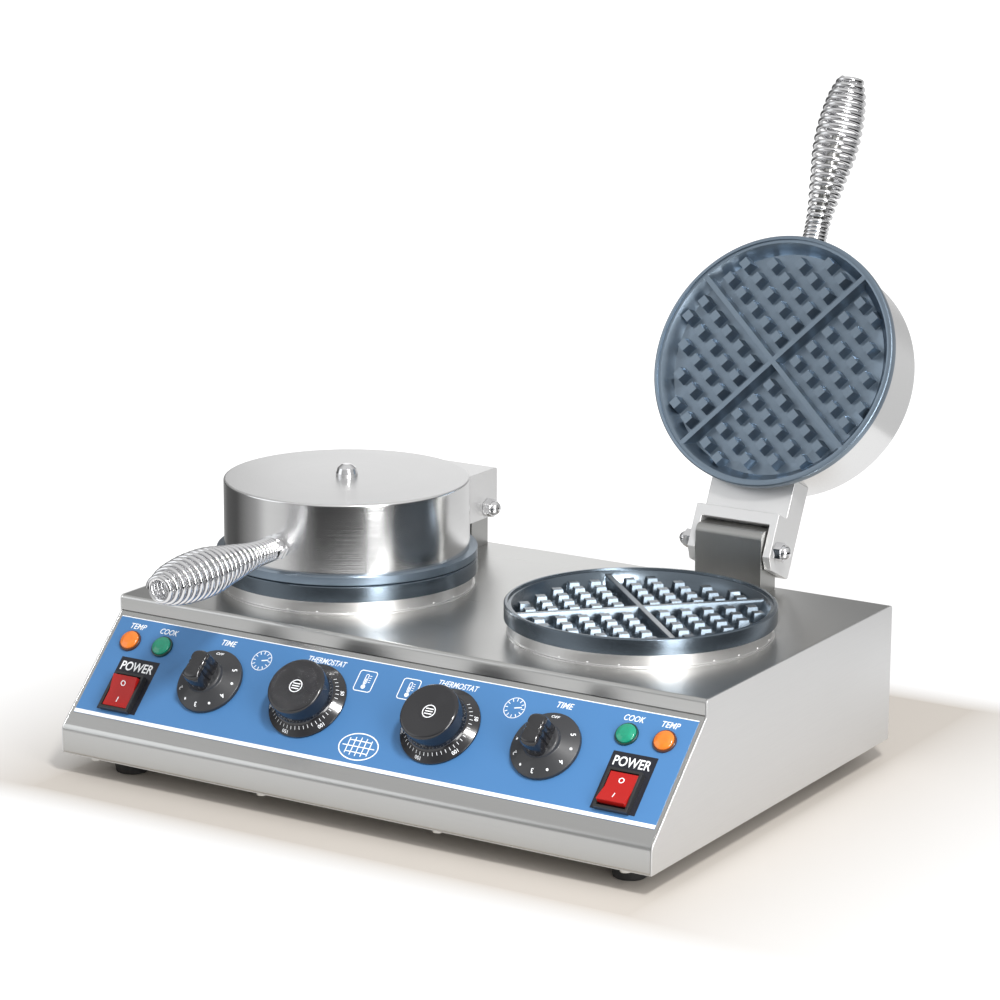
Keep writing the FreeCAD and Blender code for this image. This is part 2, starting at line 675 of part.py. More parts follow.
def waffle_plate(name, ring, body_radius, divider_drop, peg_drop, turn):
    """A cast plate with its face at zero height, its metal below and its pattern turned."""
    corners = [
        ("0", "-cavityDepth - plateFloor"),
        (body_radius, "-cavityDepth - plateFloor"),
        (body_radius, f"-{ring}"),
        ("plateRadius", f"-{ring}"),
        ("plateRadius", "-plateEdge"),
        ("plateRadius - plateEdge", "0"),
        (STEP_RADIUS, "0"),
        (STEP_RADIUS, "-stepDepth"),
        (CAVITY_RADIUS, "-stepDepth"),
        (CAVITY_FLOOR, "-cavityDepth"),
        ("0", "-cavityDepth"),
    ]
    dish = turned(name + "Dish", corners)
    height = f"cavityDepth - {divider_drop}"
    foot = f"(2 * ({CAVITY_FLOOR} + ribSeat))"
    top = f"({foot} + 2 * cavityDraft * ({height}) / (cavityDepth - stepDepth))"
    sizes = (foot, "dividerBase", top, "dividerTop", height)
    arms = [
        frustum(name + "Divider0", *sizes, "0", "0", "-cavityDepth"),
        frustum(name + "Divider1", *sizes, "0", "0", "-cavityDepth"),
    ]
    crossed = compound(name + "SecondDivider", [arms[1]])
    place(crossed, turn="90")
    ribs = [fused(name + "Cross", [arms[0], crossed])]
    sizes = ("pegBase", "pegBase", "pegTop", "pegTop", f"cavityDepth - {peg_drop}")
    for right in (-1, 1):
        for back in (-1, 1):
            for across, along in peg_rows():
                x = f"{right} * (pegFirst + {across} * pegPitch)"
                y = f"{back} * (pegFirst + {along} * pegPitch)"
                label = f"{name}Peg{right + 1}{back + 1}{across}{along}"
                ribs.append(frustum(label, *sizes, x, y, "-cavityDepth"))
    pattern = compound(name + "Pattern", ribs)
    place(pattern, turn=turn)
    return fused(name, [dish, pattern])


def make_lower_station(side_name, side):
    """What stands on the deck at one station: plate, skirt and heating element."""
    body = ("lowerRing", f"{SKIRT_RADIUS} - sheet - plateFit")
    plate = waffle_plate(f"{side_name}Lower", *body, "lowerDividerDrop", "lowerPegDrop", "45")
    x = f"{side} * stationSpacing / 2"
    place(plate, x, "stationBack + casingShift", "partingHeight")
    node(plate, f"{side_name}_lower_plate")

    skirt_top = "partingHeight - lowerRing"
    corners = [
        (f"{SKIRT_RADIUS} - sheet", "deckHeight"),
        (f"{SKIRT_RADIUS} + skirtFlange", "deckHeight"),
        (f"{SKIRT_RADIUS} + skirtFlange", "deckHeight + sheet"),
        (SKIRT_RADIUS, "deckHeight + sheet"),
        (SKIRT_RADIUS, skirt_top),
        (f"{SKIRT_RADIUS} - sheet", skirt_top),
    ]
    node(on_deck(turned(f"{side_name}Skirt", corners), side), f"{side_name}_lower_skirt")

    middle = "(partingHeight - cavityDepth - plateFloor - heaterTube)"
    element = heater(f"{side_name}LowerHeater", middle, f"{middle} - leadLength", "leadLength")
    node(on_deck(element, side), f"{side_name}_lower_heater")


def heater(name, middle, lead_bottom, lead_length, centre="0"):
    """A ring-shaped heating element with two upright terminals."""
    ring = doc.addObject("Part::Torus", name + "Ring")
    bind(ring, {"Radius1": "heaterRadius", "Radius2": "heaterTube"})
    place(ring, y=centre, z=middle)
    leads = [
        cylinder(
            f"{name}Lead{end + 1}",
            "leadRadius",
            lead_length,
            (f"{end} * leadSpacing / 2", f"{centre} - heaterRadius", lead_bottom),
        )
        for end in (-1, 1)
    ]
    return fused(name, [ring, *leads])


def make_hinge_column(side_name, side):
    """The folded column that carries the hinge pin, built about the pin's axis."""
    height = "(pinHeight - deckHeight)"
    outside = [
        ("-columnFront", f"-{height}"),
        ("-columnFront", "columnRise"),
        ("columnBack", "columnRise"),
        ("columnBack", f"-{height}"),
    ]
    inside = [
        ("-columnFront + columnSheet", f"-{height} - 1"),
        ("-columnFront + columnSheet", "columnRise - columnSheet"),
        ("columnBack - columnSheet", "columnRise - columnSheet"),
        ("columnBack - columnSheet", f"-{height} - 1"),
    ]
    shell = extruded(f"{side_name}ColumnOutside", outside, "columnWidth")
    hollow = extruded(f"{side_name}ColumnInside", inside, "columnWidth - 2 * columnSheet")
    for corner in outside[1:3]:
        fold(shell, corner, "columnBend")
    for corner in inside[1:3]:
        fold(hollow, corner, "columnBend - columnSheet")
    foot = ("-columnWidth", "0", "0")
    bore = cylinder(f"{side_name}ColumnBore", "pinRadius", "2 * columnWidth", foot, "X")
    folded = cut(f"{side_name}ColumnSheet", shell, hollow)
    column = cut(f"{side_name}Column", folded, bore)
    place(column, f"{side} * stationSpacing / 2", "pinBack + casingShift", "pinHeight")
    node(column, f"{side_name}_hinge_column")


def make_hinge_pin(side_name, side):
    """The hinge pin and the acorn nuts on its ends."""
    half = "(forkWidth / 2 + nutGap + nutHex)"
    pin = cylinder(f"{side_name}Pin", "pinRadius", f"2 * {half}")
    x = f"{side} * stationSpacing / 2"
    y = "pinBack + casingShift"
    place(pin, f"{x} - {half}", y, "pinHeight", "0; 1; 0", "90")
    node(pin, f"{side_name}_hinge_pin")

    nuts = []
    for end in (-1, 1):
        name = f"{side_name}Nut{end + 1}"
        flats = hexagon(name + "Hex", "nutAcross", "nutHex")
        dome = doc.addObject("Part::Sphere", name + "Dome")
        bind(dome, {"Radius": "nutDome"})
        place(dome, z="nutHex")
        bore = cylinder(name + "Bore", "pinRadius", "nutHex + 1", ("0", "0", "-1"))
        nut = cut(name, fused(name + "Solid", [flats, dome]), bore)
        inner_face = f"{x} + {end} * (forkWidth / 2 + nutGap)"
        place(nut, inner_face, y, "pinHeight", "0; 1; 0", f"{end} * 90")
        nuts.append(nut)
    node(compound(f"{side_name}PinNuts", nuts), f"{side_name}_pin_nuts")


def make_lid(side_name, side):
    """Everything that lifts with one lid, built closed about the pin's axis."""
    face = f"({PARTING_BELOW_PIN} + plateGap)"
    body = ("upperRing", f"{COVER_RADIUS} - coverSheet - plateFit")
    pattern = ("upperDividerDrop", "upperPegDrop", "45 + upperTurn")
    plate = waffle_plate(f"{side_name}Upper", *body, *pattern)
    place(plate, "0", PLATE_CENTRE, face, "1; 0; 0", "180")
    upper_plate = compound(f"{side_name}UpperPlate", [plate])
    node(on_lid(upper_plate, side), f"{side_name}_upper_plate")

    make_lid_cover(side_name, side, face)
    make_bracket(side_name, side)

    middle = f"({face} + cavityDepth + plateFloor + heaterTube)"
    element = heater(f"{side_name}UpperHeater", middle, middle, "lidLeadLength", PLATE_CENTRE)
    node(on_lid(element, side), f"{side_name}_upper_heater")

    make_cover_nut(side_name, side, face)
    make_handle(side_name, side)


def make_lid_cover(side_name, side, face):
    """The spun cover over the upper plate, with holes for the stud and the handle."""
    bottom = f"({face} + upperRing)"
    top = f"({PARTING_BELOW_PIN} + coverTop)"
    corners = [
        (f"{COVER_RADIUS} - coverSheet", bottom),
        (COVER_RADIUS, bottom),
        (COVER_RADIUS, f"{top} - coverEdge"),
        (f"{COVER_RADIUS} - coverEdge", top),
        ("0", top),
        ("0", f"{top} - coverSheet"),
        (f"{COVER_RADIUS} - coverSheet", f"{top} - coverSheet"),
    ]
    cup = turned(f"{side_name}Cup", corners)
    place(cup, "0", PLATE_CENTRE)
    stud_foot = ("0", PLATE_CENTRE, f"{top} - 2 * coverSheet")
    stud_hole = cylinder(f"{side_name}StudHole", "studRadius", "4 * coverSheet", stud_foot)
    rod_height = f"{PARTING_BELOW_PIN} + handleHeight"
    rod_foot = ("0", f"{PLATE_CENTRE} - {COVER_RADIUS} - 2 * coverSheet", rod_height)
    rod_hole = cylinder(f"{side_name}RodHole", "handleRod", "4 * coverSheet", rod_foot, "Y")
    holes = compound(f"{side_name}CoverHoles", [stud_hole, rod_hole])
    node(on_lid(cut(f"{side_name}Cover", cup, holes), side), f"{side_name}_lid_cover")


def make_bracket(side_name, side):
    """The hinge bracket: a block on the cover and a fork over the column."""
    front = f"({PLATE_CENTRE} + {COVER_RADIUS} * 0.9)"
    corners = [
        (front, "forkTop"),
        ("forkBack", "forkTop"),
        ("forkBack", "forkChamfer - forkBottom"),
        ("forkBack - forkChamfer", "-forkBottom"),
        ("-forkFront", "-forkBottom"),
        ("-forkFront", "blockBottom"),
        (front, "blockBottom"),
    ]
    solid = extruded(f"{side_name}BracketSolid", corners, "forkWidth")
    fold(solid, corners[1], "forkEdge")
    slot_size = ("forkSlot", "slotFront + 2 * forkBack", "slotTop + 2 * forkBottom")
    slot = box(f"{side_name}Slot", slot_size, ("-forkSlot / 2", "-slotFront", "-2 * forkBottom"))
    cover_foot = ("0", PLATE_CENTRE, "-forkTop")
    seat = cylinder(f"{side_name}CoverSeat", COVER_RADIUS, "3 * forkTop", cover_foot)
    bore_foot = ("-forkWidth", "0", "0")
    bore = cylinder(f"{side_name}ForkBore", "pinRadius + hingeRun", "2 * forkWidth", bore_foot, "X")
    tools = fused(f"{side_name}BracketTools", [slot, seat, bore])
    node(on_lid(cut(f"{side_name}Bracket", solid, tools), side), f"{side_name}_hinge_bracket")


def make_cover_nut(side_name, side, face):
    """The domed nut on the cover and the stud that holds the upper plate."""
    top = f"({PARTING_BELOW_PIN} + coverTop)"
    plate_back = f"({face} + cavityDepth + plateFloor)"
    corners = [
        ("0", plate_back),
        ("studRadius", plate_back),
        ("studRadius", top),
        ("coverNutRadius", top),
        ("coverNutRadius", f"{top} + coverNutHeight / 4"),
        ("coverNutRadius * 0.8", f"{top} + coverNutHeight * 0.7"),
        ("coverNutRadius * 0.4", f"{top} + coverNutHeight"),
        ("0", f"{top} + coverNutHeight"),
    ]
    nut = turned(f"{side_name}CoverNut", corners)
    place(nut, "0", PLATE_CENTRE)
    nut_on_lid = compound(f"{side_name}CoverNutOnLid", [nut])
    node(on_lid(nut_on_lid, side), f"{side_name}_cover_nut")


def make_handle(side_name, side):
    """The handle: a rod from inside the cover, its lock nut and the wire grip's envelope."""
    height = f"({PARTING_BELOW_PIN} + handleHeight)"
    cover_front = f"({PLATE_CENTRE} - {COVER_RADIUS})"
    start = f"{cover_front} + handleRoot"
    length = "handleRoot + handleNutHeight + gripBellyAt"
    rod = cylinder(f"{side_name}Rod", "handleRod", length)
    place(rod, "0", start, height, "1; 0; 0", "90")
    rod_on_lid = compound(f"{side_name}RodOnLid", [rod])
    node(on_lid(rod_on_lid, side), f"{side_name}_handle_rod")

    flats = hexagon(f"{side_name}LockHex", "handleNutAcross", "handleNutHeight")
    bore = cylinder(f"{side_name}LockBore", "handleRod", "2 * handleNutHeight", ("0", "0", "-1"))
    nut = cut(f"{side_name}LockNut", flats, bore)
    place(nut, "0", cover_front, height, "1; 0; 0", "90")
    nut_on_lid = compound(f"{side_name}LockNutOnLid", [nut])
    node(on_lid(nut_on_lid, side), f"{side_name}_handle_nut")

    swell = "(gripBelly - gripNeck)"
    outside = [
        ("gripNeck", "gripClose"),
        (f"gripNeck + gripSlope * {swell}", "0.5 * (gripClose + gripBellyAt)"),
        ("gripBelly", "gripBellyAt"),
        (f"gripNeck + gripShoulder * {swell}", "0.5 * (gripLength + gripBellyAt)"),
        ("gripNeck", "gripLength"),
    ]
    inside = [(f"{radius} - gripWall", along) for radius, along in reversed(outside)]
    corners = [
        ("handleRod", "0"),
        ("gripNeck", "0"),
        *outside,
        *inside,
        ("handleRod", "gripClose"),
    ]
    grip = turned(f"{side_name}Grip", corners)
    place(grip, "0", f"{cover_front} - handleNutHeight", height, "1; 0; 0", "90")
    grip_on_lid = compound(f"{side_name}GripOnLid", [grip])
    node(on_lid(grip_on_lid, side), f"{side_name}_handle_coil")


def control_case(name, size, depth):
    """A timer's or thermostat's case behind the panel, with the bush round its shaft."""
    corner = (f"-{size} / 2", f"-{size} / 2", f"-sheet - {depth}")
    case = box(name + "Case", (size, size, depth), corner)
    bush = cylinder(name + "Bush", "bushRadius", "sheet + overlaySheet", ("0", "0", "-sheet"))
    bore_foot = ("0", "0", "-sheet - shaftDepth")
    bore_height = "2 * sheet + shaftDepth"
    bore = cylinder(name + "Bore", "shaftRadius + shaftRun", bore_height, bore_foot)
    return cut(name, fused(name + "Solid", [case, bush]), bore)


def knob_shaft(name):
    """A shaft from its case, through the bush and into its knob."""
    height = "shaftDepth + sheet + overlaySheet + knobGap + shaftReach - shaftRun"
    return cylinder(name, "shaftRadius", height, ("0", "0", "-sheet - shaftDepth + shaftRun"))


def make_timer(side_name, side):
    """The cooking timer: its case, its shaft and its knob with a grip bar."""
    across = f"{side} * timerAcross"
    case = control_case(f"{side_name}Timer", "timerBody", "timerBodyDepth")
    node(on_panel(case, across, "controlDown"), f"{side_name}_timer_body")
    shaft = compound(f"{side_name}TimerShaft", [knob_shaft(f"{side_name}TimerRod")])
    node(on_panel(shaft, across, "controlDown"), f"{side_name}_timer_shaft")

    corners = [
        ("shaftRadius", "0"),
        ("timerRadius", "0"),
        ("timerRadius", "0.3 * timerDial"),
        ("timerHub + 1", "timerDial"),
        ("shaftRadius", "timerDial"),
    ]
    dial = turned(f"{side_name}TimerDial", corners)
    height = "timerGripHeight - timerDial"
    round_grip = cone(f"{side_name}TimerCone", "timerHub", "timerHubTop", height, ("0", "0", "timerDial"))
    sizes = ("2 * timerHub", "3 * timerHub", "timerGripWidth", "3 * timerHub", height)
    flats = frustum(f"{side_name}TimerFlats", *sizes, "0", "0", "timerDial")
    grip = doc.addObject("Part::MultiCommon", f"{side_name}TimerGrip")
    grip.Shapes = [round_grip, flats]
    bore = cylinder(f"{side_name}TimerBore", "shaftRadius", "shaftReach")
    knob = cut(f"{side_name}TimerKnob", fused(f"{side_name}TimerSolid", [dial, grip]), bore)
    rise = "overlaySheet + knobGap"
    node(on_panel(knob, across, "controlDown", rise), f"{side_name}_timer_knob")


def make_thermostat(side_name, side):
    """The thermostat: its case, its shaft and its round stepped knob."""
    across = f"{side} * thermostatAcross"
    case = control_case(f"{side_name}Thermostat", "thermostatBody", "thermostatBodyDepth")
    node(on_panel(case, across, "controlDown"), f"{side_name}_thermostat_body")
    shaft = compound(f"{side_name}ThermostatShaft", [knob_shaft(f"{side_name}ThermostatRod")])
    node(on_panel(shaft, across, "controlDown"), f"{side_name}_thermostat_shaft")

    corners = [
        ("shaftRadius", "0"),
        ("thermostatRadius", "0"),
        ("thermostatRadius", "0.3 * thermostatDial"),
        ("thermostatCap + 2", "thermostatDial"),
        ("thermostatCap", "thermostatDial"),
        ("thermostatCap - 1", "thermostatHeight - 1"),
        ("thermostatCap - 2", "thermostatHeight"),
        ("thermostatCap - 5", "thermostatHeight"),
        ("thermostatCap - 7", "thermostatHeight - thermostatDish"),
        ("0", "thermostatHeight - thermostatDish"),
        ("0", "shaftReach"),
        ("shaftRadius", "shaftReach"),
    ]
    knob = turned(f"{side_name}ThermostatKnob", corners)
    rise = "overlaySheet + knobGap"
    node(on_panel(knob, across, "controlDown", rise), f"{side_name}_thermostat_knob")


def make_lamps(side_name, side):
    """The two signal lamps at one end of the panel."""
    surface = "overlaySheet"
    corners = [
        ("0", "-sheet - lampDepth"),
        ("lampBody", "-sheet - lampDepth"),
        ("lampBody", surface),
        ("lampRadius", surface),
        ("lampRadius", f"{surface} + lampBezel - 0.5"),
        ("lampRadius - 0.5", f"{surface} + lampBezel"),
        ("lampLens", f"{surface} + lampBezel"),
        ("lampLens * 0.85", f"{surface} + lampHeight * 0.8"),
        ("lampLens * 0.4", f"{surface} + lampHeight"),
        ("0", f"{surface} + lampHeight"),
    ]
    for lamp in ("temp", "cook"):
        body = turned(f"{side_name}{lamp.title()}Lamp", corners)
        node(on_panel(body, f"{side} * {lamp}LampAcross", "lampDown"), f"{side_name}_{lamp}_lamp")


def make_switch(side_name, side):
    """The rocker switch: its frame with a well for the rocker, and the rocker on its trunnions."""
    across = f"{side} * switchAcross"
    bezel_corner = ("-bezelWidth / 2", "-bezelLength / 2", "overlaySheet")
    bezel = box(f"{side_name}Bezel", ("bezelWidth", "bezelLength", "bezelHeight"), bezel_corner)
    case_corner = ("-switchWidth / 2", "-switchLength / 2", "-sheet - switchDepth")
    case_size = ("switchWidth", "switchLength", "switchDepth + sheet + 2 * overlaySheet")
    case = box(f"{side_name}SwitchCase", case_size, case_corner)
    well_half = f"({ROCKER_HALF_WIDTH} + rockerGap)"
    well_floor = "(trunnionHeight - rockerDrop - rockerFoot * sin(rockerTilt) / 2 - 2 * rockerGap)"
    well_size = (f"2 * {well_half}", f"2 * {ROCKER_SWEEP}", "2 * bezelHeight + switchDepth")
    well_corner = (f"-{well_half}", f"-{ROCKER_SWEEP}", well_floor)
    well = box(f"{side_name}Well", well_size, well_corner)
    bore_reach = f"({ROCKER_HALF_WIDTH} + rockerGap + trunnionLength)"
    bore_foot = (f"-{bore_reach}", "0", "trunnionHeight")
    bore_radius = "trunnionRadius + shaftRun"
    bore = cylinder(f"{side_name}TrunnionBore", bore_radius, f"2 * {bore_reach}", bore_foot, "X")
    solid = fused(f"{side_name}SwitchSolid", [bezel, case])
    hollow = fused(f"{side_name}SwitchHollow", [well, bore])
    frame = cut(f"{side_name}SwitchFrame", solid, hollow)
    node(on_panel(frame, across, "switchDown"), f"{side_name}_switch_frame")

    half = "rockerLength / 2"
    corners = [
        (f"-{half}", "rockerRise"),
        ("0", f"rockerRise - {half} * tan(rockerTilt)"),
        (half, "rockerRise"),
        (half, "1"),
        ("rockerFoot / 2", "-rockerDrop"),
        ("-rockerFoot / 2", "-rockerDrop"),
        (f"-{half}", "1"),
    ]
    paddle = extruded(f"{side_name}Paddle", corners, f"2 * {ROCKER_HALF_WIDTH}")
    trunnion_reach = f"({ROCKER_HALF_WIDTH} + rockerGap + trunnionLength - shaftRun)"
    trunnion_foot = (f"-{trunnion_reach}", "0", "0")
    trunnion_length = f"2 * {trunnion_reach}"
    trunnions = cylinder(f"{side_name}Trunnions", "trunnionRadius", trunnion_length, trunnion_foot, "X")
    rocker = fused(f"{side_name}Rocker", [paddle, trunnions])
    tilt = f"{-side} * rockerTilt"
    on_panel(rocker, across, "switchDown", "trunnionHeight", tilt)
    node(rocker, f"{side_name}_rocker")


def check_and_write():
    """Stops at any failed object or bad shape, and then writes one file for each sub-part."""
    doc.recompute()
    for item in doc.Objects:
        if "Invalid" in item.State or "Error" in item.State:
            raise RuntimeError(f"{item.Label} failed to build")
    for item in nodes:
        if item.Shape.isNull() or not item.Shape.isValid():
            raise RuntimeError(f"{item.Label} has a bad shape")
    os.makedirs("parts", exist_ok=True)
    for item in nodes:
        item.Shape.exportStep(f"parts/{item.Label}.step")
        print(f"{item.Label}: {item.Shape.Volume / 1000:.2f} cm3 in {len(item.Shape.Solids)} solids")


fill_sheet()
make_deck()
make_control_panel()
make_overlay()
make_side_panels()
make_back_panel()
make_base()
make_cord_entry()
for side_name, side in SIDES.items():
    make_lower_station(side_name, side)
    make_hinge_column(side_name, side)
    make_hinge_pin(side_name, side)
    make_lid(side_name, side)
    make_timer(side_name, side)
    make_thermostat(side_name, side)
    make_lamps(side_name, side)
    make_switch(side_name, side)
check_and_write()
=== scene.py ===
"""Looks of the double round waffle baker: its finishes, detailed pieces, stage and camera."""

import json
import math

import bmesh
import bpy
from bpy.props import FloatProperty, FloatVectorProperty, IntProperty, PointerProperty
from mathutils import Matrix, Vector
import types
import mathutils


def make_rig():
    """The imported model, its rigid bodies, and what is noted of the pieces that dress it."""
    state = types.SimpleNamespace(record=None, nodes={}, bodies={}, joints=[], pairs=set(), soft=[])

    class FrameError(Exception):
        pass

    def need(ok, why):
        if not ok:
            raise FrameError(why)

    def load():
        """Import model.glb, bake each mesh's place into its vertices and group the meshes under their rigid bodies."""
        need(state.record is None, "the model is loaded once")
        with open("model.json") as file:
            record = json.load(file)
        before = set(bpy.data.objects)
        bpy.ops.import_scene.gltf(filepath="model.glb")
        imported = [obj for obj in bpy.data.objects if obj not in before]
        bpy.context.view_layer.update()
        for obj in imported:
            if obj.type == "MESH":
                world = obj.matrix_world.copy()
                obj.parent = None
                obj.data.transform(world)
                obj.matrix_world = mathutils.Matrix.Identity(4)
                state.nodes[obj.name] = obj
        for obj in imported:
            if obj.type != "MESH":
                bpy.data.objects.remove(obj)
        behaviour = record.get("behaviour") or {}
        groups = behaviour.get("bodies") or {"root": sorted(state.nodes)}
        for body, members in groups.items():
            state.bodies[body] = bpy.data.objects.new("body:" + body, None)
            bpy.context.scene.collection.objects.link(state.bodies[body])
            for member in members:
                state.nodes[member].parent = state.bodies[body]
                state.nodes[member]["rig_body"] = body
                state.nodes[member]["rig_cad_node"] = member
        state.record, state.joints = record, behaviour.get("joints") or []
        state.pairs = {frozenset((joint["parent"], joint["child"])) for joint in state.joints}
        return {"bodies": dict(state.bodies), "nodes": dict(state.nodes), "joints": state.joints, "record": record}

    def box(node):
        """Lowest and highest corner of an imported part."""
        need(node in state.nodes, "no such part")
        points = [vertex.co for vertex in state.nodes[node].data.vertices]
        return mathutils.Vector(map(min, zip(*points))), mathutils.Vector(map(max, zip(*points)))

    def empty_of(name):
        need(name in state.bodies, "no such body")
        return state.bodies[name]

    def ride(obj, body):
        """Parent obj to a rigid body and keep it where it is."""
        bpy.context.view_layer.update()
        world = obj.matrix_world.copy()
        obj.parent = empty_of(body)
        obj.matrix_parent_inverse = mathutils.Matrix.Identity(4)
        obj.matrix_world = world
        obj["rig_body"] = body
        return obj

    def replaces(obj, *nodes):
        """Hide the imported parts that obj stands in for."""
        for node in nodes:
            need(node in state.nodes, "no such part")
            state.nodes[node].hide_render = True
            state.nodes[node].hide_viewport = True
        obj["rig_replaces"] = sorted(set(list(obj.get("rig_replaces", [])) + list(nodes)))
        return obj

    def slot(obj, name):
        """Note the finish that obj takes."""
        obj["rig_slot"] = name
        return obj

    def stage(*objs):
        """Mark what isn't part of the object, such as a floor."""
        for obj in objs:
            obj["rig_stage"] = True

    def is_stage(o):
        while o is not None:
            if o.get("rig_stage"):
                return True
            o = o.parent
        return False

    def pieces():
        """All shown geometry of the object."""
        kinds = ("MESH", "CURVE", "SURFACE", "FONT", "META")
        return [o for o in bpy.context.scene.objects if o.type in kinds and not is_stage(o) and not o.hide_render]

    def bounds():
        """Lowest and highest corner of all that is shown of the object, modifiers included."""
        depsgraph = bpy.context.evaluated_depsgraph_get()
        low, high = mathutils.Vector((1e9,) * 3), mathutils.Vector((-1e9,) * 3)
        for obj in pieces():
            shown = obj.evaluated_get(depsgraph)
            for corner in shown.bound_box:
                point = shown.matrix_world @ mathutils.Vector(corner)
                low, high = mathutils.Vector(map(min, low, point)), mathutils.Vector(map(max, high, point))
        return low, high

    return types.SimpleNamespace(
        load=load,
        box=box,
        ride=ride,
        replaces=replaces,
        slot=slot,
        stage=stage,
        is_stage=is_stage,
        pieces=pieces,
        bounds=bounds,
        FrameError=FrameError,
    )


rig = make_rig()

bl_info = {
    "name": "Waffle Baker",
    "version": (1, 0, 0),
    "blender": (4, 5, 0),
    "location": "3D View > Sidebar > Waffle Baker",
    "description": "Dresses the double round waffle baker's frame with its real surfaces",
    "category": "Object",
}

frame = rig.load()
CAD_LOW, CAD_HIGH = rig.bounds()
NODES = frame["nodes"]
JOINTS = {joint["name"]: joint for joint in frame["joints"]}
SIDES = {"left": -1, "right": 1}
MM = 0.001
FINISHES = {}

KNOB_LIFT = 4.6  # height of the knobs' joints over the printed surface
PANEL_MIDDLE = 46.0  # distance down the slope to the surface's origin
COVER_RADIUS = 93.0
COVER_WALL = 1.2
COVER_BOTTOM = -4.4
COVER_TOP = 48.9
ROCKER_TILT = math.radians(10)
HANDLE_HEIGHT = 13.6  # the handle's axis over the lid's pin
NUT_THICKNESS = 6.0
SWITCH_ACROSS = 210.7  # from the panel's middle to a switch's plate


# ---------------------------------------------------------------- places


def middle(node):
    """The middle of a CAD node's box."""
    low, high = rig.box(node)
    return (low + high) / 2


def panel_place():
    """The printed surface's frame: X across, Y up the slope, Z out, with its origin mid-way."""
    joint = JOINTS["right_timer_turn"]
    out = Vector(joint["axis"]).normalized()
    across = Vector((1, 0, 0))
    up = out.cross(across)
    left = Vector(JOINTS["left_timer_turn"]["pos_m"])
    right = Vector(joint["pos_m"])
    surface = (left + right) / 2 - out * KNOB_LIFT * MM
    turn = Matrix((across, up, out)).transposed().to_4x4()
    return Matrix.Translation(surface) @ turn


def knob_place(side_name, knob):
    """A knob's frame: the panel's, with its origin on the knob's axis at the printed surface."""
    across = JOINTS[f"{side_name}_{knob}_turn"]["pos_m"][0]
    return PANEL @ Matrix.Translation((across, 0, 0))


def lid_place(side_name):
    """A lid's frame: the pin's axis, turned with the lid as it rests."""
    joint = JOINTS[f"{side_name}_lid_hinge"]
    opening = math.radians(-joint["range_deg"][0])
    return Matrix.Translation(joint["pos_m"]) @ Matrix.Rotation(-opening, 4, "X")


def station_place(side_name):
    """A station's frame: its origin on the plate's axis at the deck."""
    low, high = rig.box(f"{side_name}_lower_skirt")
    return Matrix.Translation(((low.x + high.x) / 2, (low.y + high.y) / 2, low.z))


PANEL = panel_place()
LIDS = {side_name: lid_place(side_name) for side_name in SIDES}
STATIONS = {side_name: station_place(side_name) for side_name in SIDES}
PLATE_BACK = STATIONS["left"].translation.y - LIDS["left"].translation.y


# ---------------------------------------------------------------- shader maths


class Wire:
    """A shader socket that takes part in arithmetic. Each operation adds its node."""

    def __init__(self, tree, socket):
        self.tree = tree
        self.socket = socket

    def node(self, kind, settings=None, inputs=None, output=0):
        """Adds any node: its settings first, then the values or wires of its sockets."""
        made = self.tree.nodes.new(kind)
        for name, setting in (settings or {}).items():
            if name == "stops":
                ramp = made.color_ramp
                while len(ramp.elements) < len(setting):
                    ramp.elements.new(0.5)
                for element, (position, colour) in zip(ramp.elements, setting):
                    element.position = position
                    element.color = (*colour, 1)
            else:
                setattr(made, name, setting)
        for key, given in (inputs or {}).items():
            if isinstance(given, Wire):
                self.tree.links.new(given.socket, made.inputs[key])
            else:
                made.inputs[key].default_value = given
        return Wire(self.tree, made.outputs[output])

    def maths(self, operation, *terms):
        return self.node("ShaderNodeMath", {"operation": operation}, dict(enumerate(terms)))

    def __add__(self, other):
        return self.maths("ADD", self, other)

    def __radd__(self, other):
        return self.maths("ADD", other, self)

    def __sub__(self, other):
        return self.maths("SUBTRACT", self, other)

    def __rsub__(self, other):
        return self.maths("SUBTRACT", other, self)

    def __mul__(self, other):
        return self.maths("MULTIPLY", self, other)

    def __rmul__(self, other):
        return self.maths("MULTIPLY", other, self)

    def __truediv__(self, other):
        return self.maths("DIVIDE", self, other)

    def __pow__(self, other):
        return self.maths("POWER", self, other)

    def minimum(self, other):
        return self.maths("MINIMUM", self, other)

    def clamped(self):
        return self.maths("MINIMUM", self.maths("MAXIMUM", self, 0.0), 1.0)

    def beyond(self, half, reach):
        """How far a coordinate lies outside plus or minus half, as a share of a reach."""
        return self.maths("MAXIMUM", self.maths("ABSOLUTE", self) - half, 0.0) / reach

    def scaled(self, factors):
        """A vector stretched along each axis."""
        return self.node("ShaderNodeVectorMath", {"operation": "MULTIPLY"}, {0: self, 1: factors})

    def part(self, axis):
        """One component of a vector."""
        return self.node("ShaderNodeSeparateXYZ", None, {0: self}, "XYZ".index(axis))

    def noise(self, scale, detail=2.0, roughness=0.5):
        """Noise on this vector, from 0 to 1."""
        sockets = {"Vector": self, "Scale": scale, "Detail": detail, "Roughness": roughness}
        return self.node("ShaderNodeTexNoise", None, sockets)

    def blended(self, low, high):
        """A colour that runs from low at 0 to high at 1."""
        return self.node("ShaderNodeMix", {"data_type": "RGBA"}, {0: self, 6: low, 7: high}, 2)


